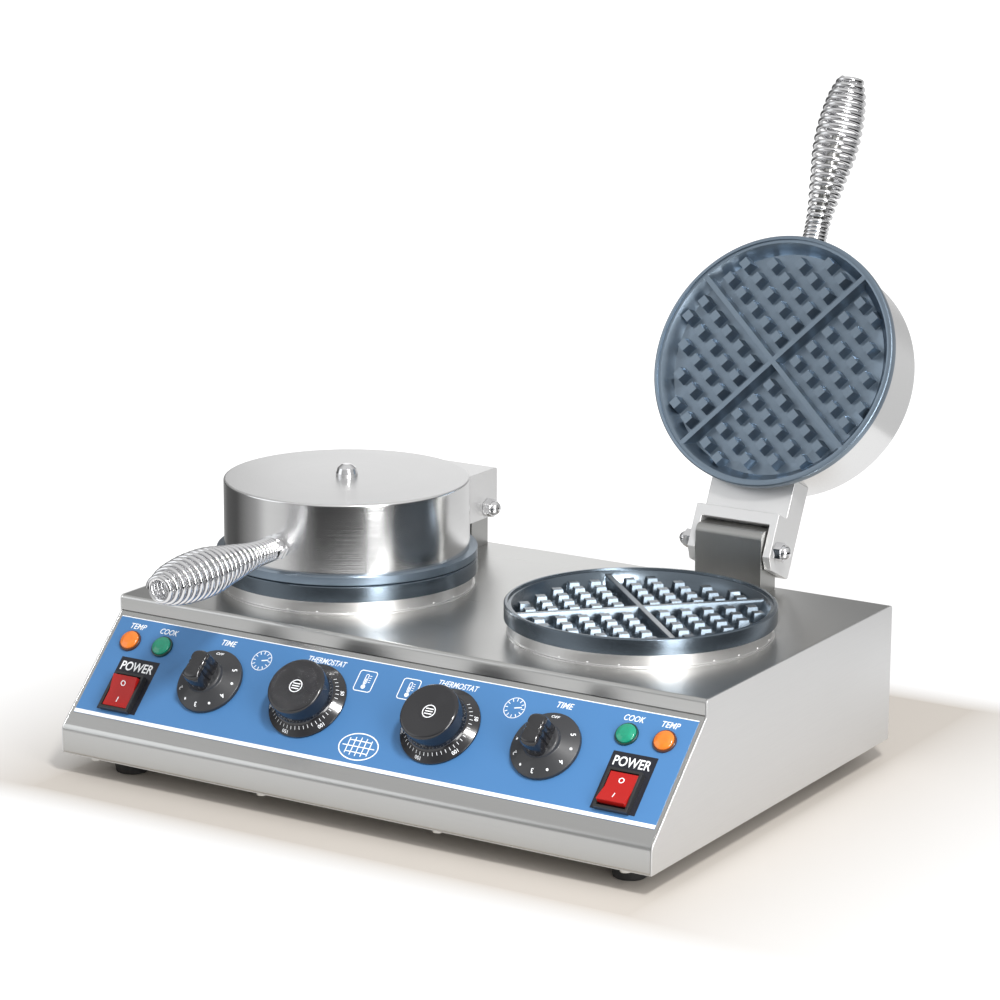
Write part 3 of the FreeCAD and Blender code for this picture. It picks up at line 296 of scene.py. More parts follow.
class Finish:
    """A material with one Principled shader and its object coordinates."""

    def __init__(self, name, place=None, **constants):
        self.material = bpy.data.materials.new(name)
        self.material.use_nodes = True
        tree = self.material.node_tree
        tree.nodes.clear()
        output = tree.nodes.new("ShaderNodeOutputMaterial")
        self.shader = tree.nodes.new("ShaderNodeBsdfPrincipled")
        tree.links.new(self.shader.outputs[0], output.inputs["Surface"])
        self.tree = tree
        place_node = tree.nodes.new("ShaderNodeTexCoord")
        self.at = Wire(tree, place_node.outputs["Object"])
        if place is not None:
            settings = {"vector_type": "TEXTURE"}
            turn = tuple(place.to_euler())
            sockets = {"Vector": self.at, "Location": tuple(place.translation), "Rotation": turn}
            self.at = self.at.node("ShaderNodeMapping", settings, sockets)
        for socket, given in constants.items():
            self.shader.inputs[socket.replace("_", " ")].default_value = given

    def varied(self, **wires):
        """Links what changes over the surface."""
        for socket, wire in wires.items():
            self.tree.links.new(wire.socket, self.shader.inputs[socket.replace("_", " ")])
        return self

    def bumped(self, height, strength, distance=0.0002):
        """Adds fine relief."""
        sockets = {"Height": height, "Strength": strength, "Distance": distance}
        return self.varied(Normal=height.node("ShaderNodeBump", None, sockets))


def colour(rgb):
    return (*rgb, 1.0)


def brushed_steel(name, grain, tone, roughness, strength=0.25, place=None):
    """Steel sheet brushed along the axis where the grain's factor is small."""
    finish = Finish(name, place, Metallic=1.0)
    lines = finish.at.scaled(grain).noise(1.0, 3.0, 0.65)
    fine = finish.at.scaled(tuple(2.7 * factor for factor in grain)).noise(1.0, 2.0)
    cloud = finish.at.noise(9.0, 3.0, 0.6)
    dark = colour([0.93 * part for part in tone])
    light = colour([min(1.0, 1.05 * part) for part in tone])
    finish.varied(
        Base_Color=(0.55 * lines + 0.45 * fine).blended(dark, light),
        Roughness=roughness - 0.08 + 0.1 * lines + 0.06 * cloud,
    )
    finish.bumped(0.6 * lines + 0.4 * fine, strength, 0.00004)
    return finish.material


def spun_steel(name, place, centre, tone, roughness):
    """Spun steel: fine rings round the lid's axis, on its top and down its side."""
    finish = Finish(name, place, Metallic=1.0)
    x = finish.at.part("X") - centre[0]
    y = finish.at.part("Y") - centre[1]
    radius = (x * x + y * y) ** 0.5
    height = finish.at.part("Z")
    rings = finish.at.node("ShaderNodeCombineXYZ", None, {0: radius, 1: height, 2: 0.0})
    top = ((height - (COVER_TOP - 0.7) * MM) * 3000.0).clamped()
    lines = rings.noise(1400.0, 3.0, 0.7)
    broad = rings.noise(160.0, 2.0, 0.5)
    cloud = finish.at.noise(14.0, 3.0, 0.6)
    dark = colour([0.94 * part for part in tone])
    light = colour([min(1.0, 1.05 * part) for part in tone])
    finish.varied(
        Base_Color=(0.6 * lines + 0.4 * broad).blended(dark, light),
        Roughness=roughness - 0.05 + 0.07 * lines + 0.05 * cloud + 0.22 * top,
    )
    finish.bumped(0.7 * lines + 0.3 * broad, 0.5, 0.00006)
    return finish.material


def coated_iron(name, tone, metallic, roughness):
    """Cast iron under a grey-blue non-stick coat, with a fine speckle and a soft sheen."""
    finish = Finish(name, Metallic=metallic, Coat_Roughness=0.22, Coat_Weight=0.25)
    speckle = finish.at.noise(1800.0, 2.0, 0.7)
    grain = finish.at.noise(420.0, 3.0, 0.6)
    cloud = finish.at.noise(24.0, 3.0, 0.6)
    dark = colour([0.82 * part for part in tone])
    light = colour([1.16 * part for part in tone])
    finish.varied(
        Base_Color=(0.35 * speckle + 0.25 * grain + 0.4 * cloud).blended(dark, light),
        Roughness=roughness - 0.06 + 0.12 * grain + 0.05 * cloud,
    )
    finish.bumped(0.6 * speckle + 0.4 * grain, 0.35, 0.00008)
    return finish.material


def plated(name, tone, roughness, strength=0.08):
    """Bright plating with faint polishing marks."""
    finish = Finish(name, Metallic=1.0)
    marks = finish.at.scaled((900.0, 300.0, 900.0)).noise(1.0, 2.0)
    cloud = finish.at.noise(60.0, 2.0)
    finish.varied(
        Base_Color=cloud.blended(colour([0.95 * part for part in tone]), colour(tone)),
        Roughness=roughness - 0.02 + 0.05 * marks,
    )
    finish.bumped(marks, strength, 0.00003)
    return finish.material


def cast_metal(name, tone, roughness, metallic=0.75):
    """Sand-cast and tumbled metal with a soft grain."""
    finish = Finish(name, Metallic=metallic, Specular_IOR_Level=0.6)
    grain = finish.at.noise(900.0, 4.0, 0.7)
    cloud = finish.at.noise(40.0, 3.0)
    finish.varied(
        Base_Color=(0.5 * grain + 0.5 * cloud).blended(
            colour([0.93 * part for part in tone]), colour(tone)
        ),
        Roughness=roughness - 0.05 + 0.12 * grain,
    )
    finish.bumped(grain, 0.25, 0.0001)
    return finish.material


def moulded(name, tone, roughness, coat=0.0, grain_size=700.0, strength=0.12, **constants):
    """Moulded plastic or rubber: a faint grain, and colour that varies a little."""
    finish = Finish(name, Coat_Weight=coat, Coat_Roughness=0.08, **constants)
    grain = finish.at.noise(grain_size, 3.0, 0.6)
    cloud = finish.at.noise(35.0, 2.0)
    finish.varied(
        Base_Color=(0.4 * grain + 0.6 * cloud).blended(
            colour([0.88 * part for part in tone]), colour([min(1, 1.1 * part) for part in tone])
        ),
        Roughness=roughness - 0.04 + 0.1 * grain,
    )
    finish.bumped(grain, strength, 0.0001)
    return finish.material


def printed(name, tone, roughness=0.42):
    """Ink or printed film: an even colour with the film's own fine texture."""
    finish = Finish(name, Specular_IOR_Level=0.35)
    grain = finish.at.noise(1500.0, 2.0)
    cloud = finish.at.noise(7.0, 2.0)
    finish.varied(
        Base_Color=cloud.blended(colour([0.96 * part for part in tone]), colour(tone)),
        Roughness=roughness - 0.03 + 0.08 * grain,
    )
    finish.bumped(grain, 0.06, 0.00005)
    return finish.material


def lens_plastic(name, tone, glow):
    """A lamp's tinted lens."""
    finish = Finish(
        name,
        Coat_Weight=0.6,
        Coat_Roughness=0.05,
        Emission_Color=colour(tone),
        Emission_Strength=glow,
        IOR=1.49,
    )
    cells = finish.at.node("ShaderNodeTexVoronoi", None, {"Vector": finish.at, "Scale": 900.0})
    cloud = finish.at.noise(180.0, 2.0)
    finish.varied(
        Base_Color=cloud.blended(colour([0.6 * part for part in tone]), colour(tone)),
        Roughness=0.16 + 0.1 * cells,
    )
    finish.bumped(cells, 0.25, 0.0002)
    return finish.material


def make_finishes():
    """Makes every material. The names are also the record's slots where they match."""
    for name, (grain, tone, roughness, strength) in SHEETS.items():
        FINISHES[name] = brushed_steel(name, grain, tone, roughness, strength)
    for side_name in SIDES:
        name = f"{side_name}_cover_steel"
        axis = (0.0, PLATE_BACK)
        FINISHES[name] = spun_steel(name, LIDS[side_name], axis, (0.74, 0.74, 0.74), 0.15)
    FINISHES["cast_silver"] = cast_metal("cast_silver", (0.72, 0.72, 0.72), 0.38)
    for name, settings in COATS.items():
        FINISHES[name] = coated_iron(name, *settings)
    for name, settings in PLATINGS.items():
        FINISHES[name] = plated(name, *settings)
    for name, (settings, constants) in MOULDINGS.items():
        FINISHES[name] = moulded(name, *settings, **constants)
    for name, settings in LENSES.items():
        FINISHES[name] = lens_plastic(name, *settings)
    for name, settings in PRINTS.items():
        FINISHES[name] = printed(name, *settings)


# Grain factors, tone, roughness and relief of each brushed sheet. All are one satin steel, so their differing tones
# are painted shade and painted light: darker on the panel, deck and columns, lighter on the sides and skirts.
SHEETS = {
    "deck_steel": ((6.0, 900.0, 900.0), (0.56, 0.56, 0.55), 0.3, 0.25),
    "side_steel": ((900.0, 14.0, 900.0), (0.7, 0.7, 0.7), 0.36, 0.25),
    "panel_steel": ((3.0, 900.0, 900.0), (0.5, 0.5, 0.49), 0.24, 0.1),
    "column_steel": ((700.0, 700.0, 9.0), (0.42, 0.42, 0.41), 0.36, 0.25),
    "skirt_steel": ((60.0, 60.0, 900.0), (0.74, 0.73, 0.72), 0.34, 0.25),
    "plain_steel": ((40.0, 40.0, 600.0), (0.62, 0.62, 0.61), 0.4, 0.25),
}
# Tone, metallic and roughness. Both are the plates' one non-stick coat: the upper plates' lighter tone is painted
# light, the lower plates' darker tone painted shade.
COATS = {
    "lower_coat": ((0.12, 0.15, 0.18), 0.9, 0.21),
    "upper_coat": ((0.2, 0.255, 0.315), 0.9, 0.3),
}
# Tone and roughness.
PLATINGS = {
    "chrome": ((0.78, 0.78, 0.79), 0.12),
    "zinc": ((0.62, 0.62, 0.6), 0.3),
}
# Tone, roughness, coat, grain size and relief; then what is set on the shader.
MOULDINGS = {
    "knob_black": (((0.01, 0.01, 0.012), 0.17, 0.5, 700.0, 0.04), {}),
    "dial_grey": (((0.026, 0.027, 0.03), 0.42, 0.15), {}),
    "switch_black": (((0.014, 0.014, 0.015), 0.4, 0.1), {}),
    "rubber_black": (((0.018, 0.018, 0.018), 0.62, 0.0, 420.0, 0.3), {}),
    "red_plastic": (((0.38, 0.009, 0.007), 0.32, 0.05), {"Specular_IOR_Level": 0.3}),
    "white_plastic": (((0.8, 0.8, 0.78), 0.4), {}),
    "green_rim": (((0.004, 0.035, 0.025), 0.3, 0.3), {}),
    "orange_rim": (((0.07, 0.022, 0.008), 0.3, 0.3), {}),
}
# Tone and glow.
LENSES = {
    "orange_lens": ((0.85, 0.2, 0.01), 0.12),
    "green_lens": ((0.0, 0.3, 0.17), 0.08),
}
# Tone and roughness.
PRINTS = {
    "blue_film": ((0.062, 0.185, 0.4), 0.38),
    "white_ink": ((0.86, 0.88, 0.9), 0.42),
    "black_film": ((0.012, 0.013, 0.02), 0.36),
    "seam_dark": ((0.02, 0.02, 0.02), 0.7),
}
SLOT_FINISH = {
    "satin_steel": "plain_steel",
    "polished_steel": "plain_steel",
    "zinc_steel": "zinc",
    "overlay_blue": "blue_film",
    "coated_iron": "lower_coat",
    "cast_silver": "cast_silver",
    "chrome": "chrome",
    "black_gloss": "knob_black",
    "black_rubber": "rubber_black",
    "black_nylon": "switch_black",
    "orange_lens": "orange_lens",
    "green_lens": "green_lens",
    "red_rocker": "red_plastic",
    "white_nylon": "white_plastic",
}
BASE_SHEETS = {
    "top_deck": "deck_steel",
    "control_panel": "panel_steel",
    "left_side_panel": "side_steel",
    "right_side_panel": "side_steel",
    "back_panel": "side_steel",
    "base_plate": "plain_steel",
}


# ---------------------------------------------------------------- meshes


def put(name, mesh, body, finishes=(), nodes=(), slot=None):
    """Puts a finished mesh in the scene, to ride its body and stand for its CAD nodes."""
    for finish in finishes:
        mesh.materials.append(FINISHES[finish])
    made = bpy.data.objects.new(name, mesh)
    bpy.context.scene.collection.objects.link(made)
    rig.ride(made, body)
    if nodes:
        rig.replaces(made, *nodes)
    if slot:
        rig.slot(made, slot)
    return made


def finished(bm, name, angle=32.0):
    """Turns a closed bmesh into a smooth mesh with its outside out and its corners sharp."""
    bmesh.ops.recalc_face_normals(bm, faces=bm.faces)
    mesh = bpy.data.meshes.new(name)
    bm.to_mesh(mesh)
    bm.free()
    mesh.shade_smooth()
    mesh.set_sharp_from_angle(angle=math.radians(angle))
    return mesh


def evaluated(thing, name):
    """The mesh that an object's modifiers make."""
    graph = bpy.context.evaluated_depsgraph_get()
    mesh = bpy.data.meshes.new_from_object(thing.evaluated_get(graph))
    mesh.name = name
    return mesh


def softened(node, width, segments=2, angle=30.0, crisp=False):
    """A copy of a CAD node's mesh with its loose seams closed and its corners rounded.

    A crisp one keeps each flat face flat, for plates with many small ribs.
    """
    source = bmesh.new()
    source.from_mesh(NODES[node].data)
    bmesh.ops.remove_doubles(source, verts=source.verts, dist=0.00001)
    bmesh.ops.dissolve_degenerate(source, edges=source.edges, dist=0.00001)
    if not crisp:
        limit = math.radians(1.2)
        bmesh.ops.dissolve_limit(
            source, angle_limit=limit, verts=source.verts, edges=source.edges, delimit={"NORMAL"}
        )
    rough = bpy.data.meshes.new(node + "_rough")
    source.to_mesh(rough)
    source.free()
    rough.materials.clear()
    rough.shade_smooth()
    holder = bpy.data.objects.new(node + "_holder", rough)
    bpy.context.scene.collection.objects.link(holder)
    bevel = holder.modifiers.new("Soft", "BEVEL")
    bevel.width = width * MM
    bevel.segments = segments
    bevel.limit_method = "ANGLE"
    bevel.angle_limit = math.radians(angle)
    bevel.miter_outer = "MITER_ARC"
    if not crisp:
        weighted = holder.modifiers.new("Flat", "WEIGHTED_NORMAL")
        weighted.mode = "FACE_AREA"
        weighted.weight = 100
    mesh = evaluated(holder, node + "_soft")
    if crisp:
        mesh.set_sharp_from_angle(angle=math.radians(18))
    bpy.data.objects.remove(holder)
    bpy.data.meshes.remove(rough)
    return mesh


def soft_piece(name, node, body, finish, width, slot=None, segments=2, **options):
    """Stands for one CAD node with its softened copy."""
    mesh = softened(node, width, segments, **options)
    return put(name, mesh, body, [finish], [node], slot)


def rounded(corners, steps=5):
    """A profile with its corners rounded: each corner is (radius, height, fillet)."""
    profile = []
    for index, corner in enumerate(corners):
        here = Vector(corner[:2])
        fillet = corner[2] if len(corner) > 2 else 0
        if not fillet or index in (0, len(corners) - 1):
            profile.append(here)
            continue
        before = (Vector(corners[index - 1][:2]) - here)
        after = (Vector(corners[index + 1][:2]) - here)
        half = before.angle(after) / 2
        reach = min(fillet / math.tan(half), 0.49 * before.length, 0.49 * after.length)
        radius = reach * math.tan(half)
        start = here + before.normalized() * reach
        end = here + after.normalized() * reach
        inward = (before.normalized() + after.normalized()).normalized()
        centre = here + inward * (radius / math.sin(half))
        profile.append(start + before.normalized() * min(0.3, 0.2 * reach))
        first, last = start - centre, end - centre
        sweep = first.angle_signed(last)
        for step in range(steps + 1):
            profile.append(centre + Matrix.Rotation(-sweep * step / steps, 2) @ first)
        profile.append(end + after.normalized() * min(0.3, 0.2 * reach))
    return [(point.x, point.y) for point in profile]


def lathe(profile, place, segments=128, name="turned"):
    """Turns a profile in millimetres round the Z axis of a place."""
    bm = bmesh.new()
    rings = []
    for radius, height in profile:
        if radius < 1e-6:
            rings.append([bm.verts.new(place @ Vector((0, 0, height * MM)))])
            continue
        ring = []
        for step in range(segments):
            angle = math.tau * step / segments
            spot = Vector((radius * math.cos(angle), radius * math.sin(angle), height)) * MM
            ring.append(bm.verts.new(place @ spot))
        rings.append(ring)
    pairs = list(zip(rings, rings[1:]))
    if len(rings[0]) > 1 and len(rings[-1]) > 1:
        pairs.append((rings[-1], rings[0]))
    for low, high in pairs:
        for step in range(segments):
            after = (step + 1) % segments
            corners = [low[step % len(low)], low[after % len(low)]]
            corners += [high[after % len(high)], high[step % len(high)]]
            unique = list(dict.fromkeys(corners))
            if len(unique) > 2:
                bm.faces.new(unique)
    return finished(bm, name)


def loft(heights, reach, place, segments=192, name="lofted"):
    """Stacks outlines given by reach(angle, height) along the Z axis of a place and caps them."""
    bm = bmesh.new()
    rings = []
    for height in heights:
        ring = []
        for step in range(segments):
            angle = math.tau * step / segments
            radius = reach(angle, height)
            spot = Vector((radius * math.cos(angle), radius * math.sin(angle), height)) * MM
            ring.append(bm.verts.new(place @ spot))
        rings.append(ring)
    for low, high in zip(rings, rings[1:]):
        for step in range(segments):
            after = (step + 1) % segments
            bm.faces.new((low[step], low[after], high[after], high[step]))
    bm.faces.new(rings[0])
    bm.faces.new(rings[-1])
    return finished(bm, name, 28.0)


def prism(bm, outline, place, low=-0.05, high=0.05, inner=None):
    """Adds a thin closed plate with an outline in millimetres, or a frame round an inner one."""
    layers = []
    for height in (low, high):
        outer = [bm.verts.new(place @ (Vector((x, y, height)) * MM)) for x, y in outline]
        hole = [bm.verts.new(place @ (Vector((x, y, height)) * MM)) for x, y in inner or []]
        layers.append((outer, hole))
    count = len(outline)
    (low_outer, low_hole), (high_outer, high_hole) = layers
    for step in range(count):
        after = (step + 1) % count
        bm.faces.new((low_outer[step], low_outer[after], high_outer[after], high_outer[step]))
        if inner:
            bm.faces.new((low_hole[after], low_hole[step], high_hole[step], high_hole[after]))
            bm.faces.new((low_outer[after], low_outer[step], low_hole[step], low_hole[after]))
            bm.faces.new((high_outer[step], high_outer[after], high_hole[after], high_hole[step]))
    if not inner:
        bm.faces.new(list(reversed(low_outer)))
        bm.faces.new(high_outer)


def oblong(width, height, x=0.0, y=0.0, turn=0.0):
    """A rectangle's outline, turned about its middle."""
    spin = Matrix.Rotation(turn, 2)
    corners = [(-1, -1), (1, -1), (1, 1), (-1, 1)]
    spots = [spin @ Vector((a * width / 2, b * height / 2)) for a, b in corners]
    return [(x + spot.x, y + spot.y) for spot in spots]


def ellipse(width, height, x=0.0, y=0.0, steps=64):
    angles = [math.tau * step / steps for step in range(steps)]
    return [(x + width / 2 * math.cos(a), y + height / 2 * math.sin(a)) for a in angles]


def soft_oblong(width, height, radius, x=0.0, y=0.0, steps=6):
    """A rectangle's outline with round corners."""
    outline = []
    for quarter, (a, b) in enumerate([(1, 1), (-1, 1), (-1, -1), (1, -1)]):
        for step in range(steps + 1):
            angle = math.radians(90) * (quarter + step / steps)
            outline.append(
                (
                    x + a * (width / 2 - radius) + radius * math.cos(angle),
                    y + b * (height / 2 - radius) + radius * math.sin(angle),
                )
            )
    return outline


def lettering(bm, words, height, place, width=None, shear=0.0, weight=0.0, low=-0.05, high=0.05):
    """Adds raised letters of a given height, centred on a place's origin, to a bmesh."""
    curve = bpy.data.curves.new("letters", "FONT")
    curve.body = words
    curve.align_x = "CENTER"
    curve.shear = shear
    curve.offset = weight
    curve.resolution_u = 4
    curve.extrude = 0.05
    holder = bpy.data.objects.new("letters", curve)
    bpy.context.scene.collection.objects.link(holder)
    mesh = evaluated(holder, "letters")
    bpy.data.objects.remove(holder)
    xs = [vertex.co.x for vertex in mesh.vertices]
    ys = [vertex.co.y for vertex in mesh.vertices]
    tall = height / (max(ys) - min(ys))
    wide = width / (max(xs) - min(xs)) if width else tall
    shift = Matrix.Translation((-(max(xs) + min(xs)) / 2, -(max(ys) + min(ys)) / 2, 0))
    stretch = Matrix.Diagonal((wide * MM, tall * MM, (high - low) * MM / 0.1, 1))
    lift = Matrix.Translation((0, 0, (high + low) / 2 * MM))
    mesh.transform(place @ lift @ stretch @ shift)
    letters = bmesh.new()
    letters.from_mesh(mesh)
    bmesh.ops.remove_doubles(letters, verts=letters.verts, dist=0.000002)
    letters.to_mesh(mesh)
    letters.free()
    bm.from_mesh(mesh)
    bpy.data.meshes.remove(mesh)
    bpy.data.curves.remove(curve)


# ---------------------------------------------------------------- geometry nodes


class Network:
    """A geometry-nodes group with named inputs, built node by node."""

    def __init__(self, name, inputs):
        self.group = bpy.data.node_groups.new(name, "GeometryNodeTree")
        face = self.group.interface
        face.new_socket("Geometry", in_out="OUTPUT", socket_type="NodeSocketGeometry")
        self.given = {}
        for label, (kind, value) in inputs.items():
            socket = face.new_socket(label, in_out="INPUT", socket_type=kind)
            self.given[label] = (socket.identifier, value)
        self.entry = self.group.nodes.new("NodeGroupInput")
        self.exit = self.group.nodes.new("NodeGroupOutput")

    def input(self, label):
        return self.entry.outputs[label]

    def node(self, kind, settings=None, inputs=None):
        made = self.group.nodes.new(kind)
        for name, setting in (settings or {}).items():
            setattr(made, name, setting)
        for key, given in (inputs or {}).items():
            if isinstance(given, bpy.types.NodeSocket):
                self.group.links.new(given, made.inputs[key])
            else:
                made.inputs[key].default_value = given
        return made

    def maths(self, operation, *terms):
        made = self.node("ShaderNodeMath", {"operation": operation}, dict(enumerate(terms)))
        return made.outputs[0]

    def vector(self, x, y, z):
        return self.node("ShaderNodeCombineXYZ", None, {0: x, 1: y, 2: z}).outputs[0]

    def curve(self, factor, points):
        """A float curve through the given points."""
        made = self.node("ShaderNodeFloatCurve", None, {"Value": factor})
        line = made.mapping.curves[0]
        while len(line.points) < len(points):
            line.points.new(0.5, 0.5)
        for point, spot in zip(line.points, points):
            point.location = spot
            point.handle_type = "AUTO_CLAMPED"
        made.mapping.update()
        return made.outputs[0]

    def result(self, geometry, finish, name, place):
        """Ends the group, runs it on an empty mesh and moves the mesh it makes to a place."""
        real = self.node("GeometryNodeRealizeInstances", None, {0: geometry}).outputs[0]
        painted = self.node("GeometryNodeSetMaterial", None, {"Geometry": real})
        painted.inputs["Material"].default_value = FINISHES[finish]
        self.group.links.new(painted.outputs[0], self.exit.inputs["Geometry"])
        holder = bpy.data.objects.new(name, bpy.data.meshes.new(name))
        bpy.context.scene.collection.objects.link(holder)
        modifier = holder.modifiers.new("Build", "NODES")
        modifier.node_group = self.group
        for identifier, value in self.given.values():
            modifier[identifier] = value
        holder.update_tag()
        mesh = evaluated(holder, name)
        holder.modifiers.clear()
        bpy.data.objects.remove(holder)
        mesh.transform(place)
        return mesh


def joined(name, meshes):
    """One mesh from several that share their materials."""
    bm = bmesh.new()
    for mesh in meshes:
        bm.from_mesh(mesh)
    whole = bpy.data.meshes.new(name)
    bm.to_mesh(whole)
    bm.free()
    whole.shade_smooth()
    whole.set_sharp_from_angle(angle=math.radians(40))
    for mesh in meshes:
        bpy.data.meshes.remove(mesh)
    return whole


def coil_mesh(settings, place):
    """The wire grip: a coil whose radius and pitch change along its length."""
    network = Network(
        "Wire Grip",
        {
            "Turns": ("NodeSocketFloat", settings.turns),
            "Length": ("NodeSocketFloat", settings.length),
            "Belly": ("NodeSocketFloat", settings.belly),
            "Wire": ("NodeSocketFloat", settings.wire),
        },
    )
    line = network.node("GeometryNodeCurvePrimitiveLine", None, {"End": (0.0, 0.0, 1.0)})
    dots = network.node("GeometryNodeResampleCurve", None, {"Curve": line.outputs[0]})
    dots.inputs["Count"].default_value = settings.points
    share = network.node("GeometryNodeSplineParameter").outputs["Factor"]
    along = network.curve(share, settings.run())
    swell = network.curve(along, settings.swell())
    turned = network.maths("MULTIPLY", share, network.input("Turns"))
    angle = network.maths("MULTIPLY", turned, math.tau)
    radius = network.maths("SUBTRACT", network.input("Belly"), network.input("Wire"))
    radius = network.maths("MULTIPLY", radius, swell)
    spot = network.vector(
        network.maths("MULTIPLY", radius, network.maths("COSINE", angle)),
        network.maths("MULTIPLY", radius, network.maths("SINE", angle)),
        network.maths("MULTIPLY", along, network.input("Length")),
    )
    sockets = {"Geometry": dots.outputs[0], "Position": spot}
    wound = network.node("GeometryNodeSetPosition", None, sockets)
    section = network.node("GeometryNodeCurvePrimitiveCircle")
    section.inputs["Resolution"].default_value = 12
    network.group.links.new(network.input("Wire"), section.inputs["Radius"])
    sockets = {"Curve": wound.outputs[0], "Profile Curve": section.outputs[0], "Fill Caps": True}
    wire = network.node("GeometryNodeCurveToMesh", None, sockets)
    smooth = network.node("GeometryNodeSetShadeSmooth", None, {0: wire.outputs[0]})
    return network.result(smooth.outputs[0], "chrome", "wire_grip", place)


def circle_of(name, count, radius, size, finish, place, sweep=math.tau, lean=0.0, round_=False):
    """Copies of a small block or ball round a circle, each facing outwards."""
    network = Network(
        name,
        {
            "Count": ("NodeSocketInt", count),
            "Radius": ("NodeSocketFloat", radius * MM),
            "Sweep": ("NodeSocketFloat", sweep),
            "Size": ("NodeSocketVector", tuple(part * MM for part in size)),
        },
    )
    zero = (0.0, 0.0, 0.0)
    settings = {"mode": "OFFSET"}
    row = network.node("GeometryNodeMeshLine", settings, {"Offset": zero})
    network.group.links.new(network.input("Count"), row.inputs["Count"])
    index = network.node("GeometryNodeInputIndex").outputs[0]
    step = network.maths("DIVIDE", network.input("Sweep"), network.input("Count"))
    angle = network.maths("MULTIPLY", index, step)
    spot = network.vector(
        network.maths("MULTIPLY", network.input("Radius"), network.maths("COSINE", angle)),
        network.maths("MULTIPLY", network.input("Radius"), network.maths("SINE", angle)),
        0.0,
    )
    sockets = {"Geometry": row.outputs[0], "Position": spot}
    ring = network.node("GeometryNodeSetPosition", None, sockets)
    if round_:
        form = network.node("GeometryNodeMeshIcoSphere", None, {"Radius": 0.5, "Subdivisions": 2})
    else:
        form = network.node("GeometryNodeMeshCube")
        form.inputs["Size"].default_value = (1.0, 1.0, 1.0)
    spin = network.vector(0.0, lean, angle)
    sockets = {"Points": ring.outputs[0], "Instance": form.outputs[0], "Rotation": spin}
    sockets["Scale"] = network.input("Size")
    copies = network.node("GeometryNodeInstanceOnPoints", None, sockets)
    return network.result(copies.outputs[0], finish, name, place)


# ---------------------------------------------------------------- settings


def length(name, description, millimetres, low=0.0):
    """A length property, shown in the scene's unit."""
    return FloatProperty(
        name=name,
        description=description,
        default=millimetres * MM,
        min=low * MM,
        subtype="DISTANCE",
        unit="LENGTH",
    )


def turn(name, description, radians):
    """An angle property."""
    return FloatProperty(name=name, description=description, default=radians, subtype="ANGLE")


def power(name, watts):
    """A light's power."""
    words = f"Power of the {name.lower()} light in watts"
    return FloatProperty(name=f"{name} light", description=words, default=watts)


class WaffleSheetSettings(bpy.types.PropertyGroup):
    """How the folded sheets and castings are finished."""

    sheet_edge: length("Sheet edge", "Rounding of the folded sheets' edges", 0.35)
    cast_edge: length("Cast edge", "Rounding of the castings' edges", 0.6)
    plate_edge: length("Plate edge", "Rounding of the plates' ribs and rims", 0.35)


class WaffleStationSettings(bpy.types.PropertyGroup):
    """The small marks round the skirts."""

    dots: IntProperty(name="Dots", description="Punched dots round a skirt", default=26, min=0)
    dot_size: length("Dot size", "Width of a punched dot", 1.3)
    dot_height: length("Dot height", "Dots above the deck", 2.4)


class WaffleLidSettings(bpy.types.PropertyGroup):
    """The spun covers."""

    edge: length("Top edge", "Rounding of a cover's top edge", 1.6)
    segments: IntProperty(name="Steps", description="Steps round a cover", default=192, min=16)


class WaffleGripSettings(bpy.types.PropertyGroup):
    """The wire grips."""

    wire: length("Wire", "Radius of the wire", 1.95)
    belly: length("Belly", "Outer radius of the grip at its widest", 18.2)
    length: length("Length", "Length of the grip", 134.2)
    turns: FloatProperty(name="Turns", description="Turns of the wire", default=24.5, min=1.0)
    points: IntProperty(name="Points", description="Points along the wire", default=1100, min=50)

    def run(self):
        """Share of the length reached at each share of the turns."""
        return [(0.0, 0.0), (0.15, 0.085), (0.22, 0.14), (0.5, 0.455), (0.8, 0.8), (1.0, 1.0)]

    def swell(self):
        """Share of the widest wire-centre radius at each share of the length."""
        return [(0.0, 0.46), (0.1, 0.47), (0.38, 0.76), (0.647, 1.0), (0.82, 0.9), (1.0, 0.5)]


class WaffleKnobSettings(bpy.types.PropertyGroup):
    """The knobs of the timers and thermostats."""

    grip_width: length("Grip width", "Flat to flat of the timer's grip at its top", 14.6)
    groove: length("Groove", "Depth of the grooves in the timer's grip", 0.9)
    figure_height: length("Figure height", "Height of a dial's figures", 3.6)
    ticks: IntProperty(name="Ticks", description="Ticks on a thermostat's dial", default=38, min=2)


class WaffleArtworkSettings(bpy.types.PropertyGroup):
    """The printed panel."""

    letter_height: length("Letter height", "Height of the panel's words", 4.6)
    slant: FloatProperty(name="Slant", description="Slant of the panel's words", default=0.22)
    line_width: length("Line width", "Width of the drawn lines", 0.75)


class WaffleStageSettings(bpy.types.PropertyGroup):
    """The camera, the floor and the light."""

    camera_spot: FloatVectorProperty(
        name="Camera place",
        description="Where the camera stands",
        default=(1.31562, -2.14475, 0.80478),
        subtype="TRANSLATION",
        unit="LENGTH",
    )
    azimuth: turn("Azimuth", "Camera's turn from the front", 0.5567619)
    elevation: turn("Elevation", "Camera's height angle", 0.2386301)
    roll: turn("Roll", "Camera's roll", 0.0042899)
    lens: FloatProperty(name="Lens", description="Focal length in millimetres", default=124.80066)
    key: power("Key", 62.0)
    fill: power("Fill", 12.0)
    strip: power("Strip", 24.0)
    back: power("Back", 1.05)
    sky: FloatProperty(name="Sky", description="Strength of the room's light", default=0.8)


# ---------------------------------------------------------------- operators


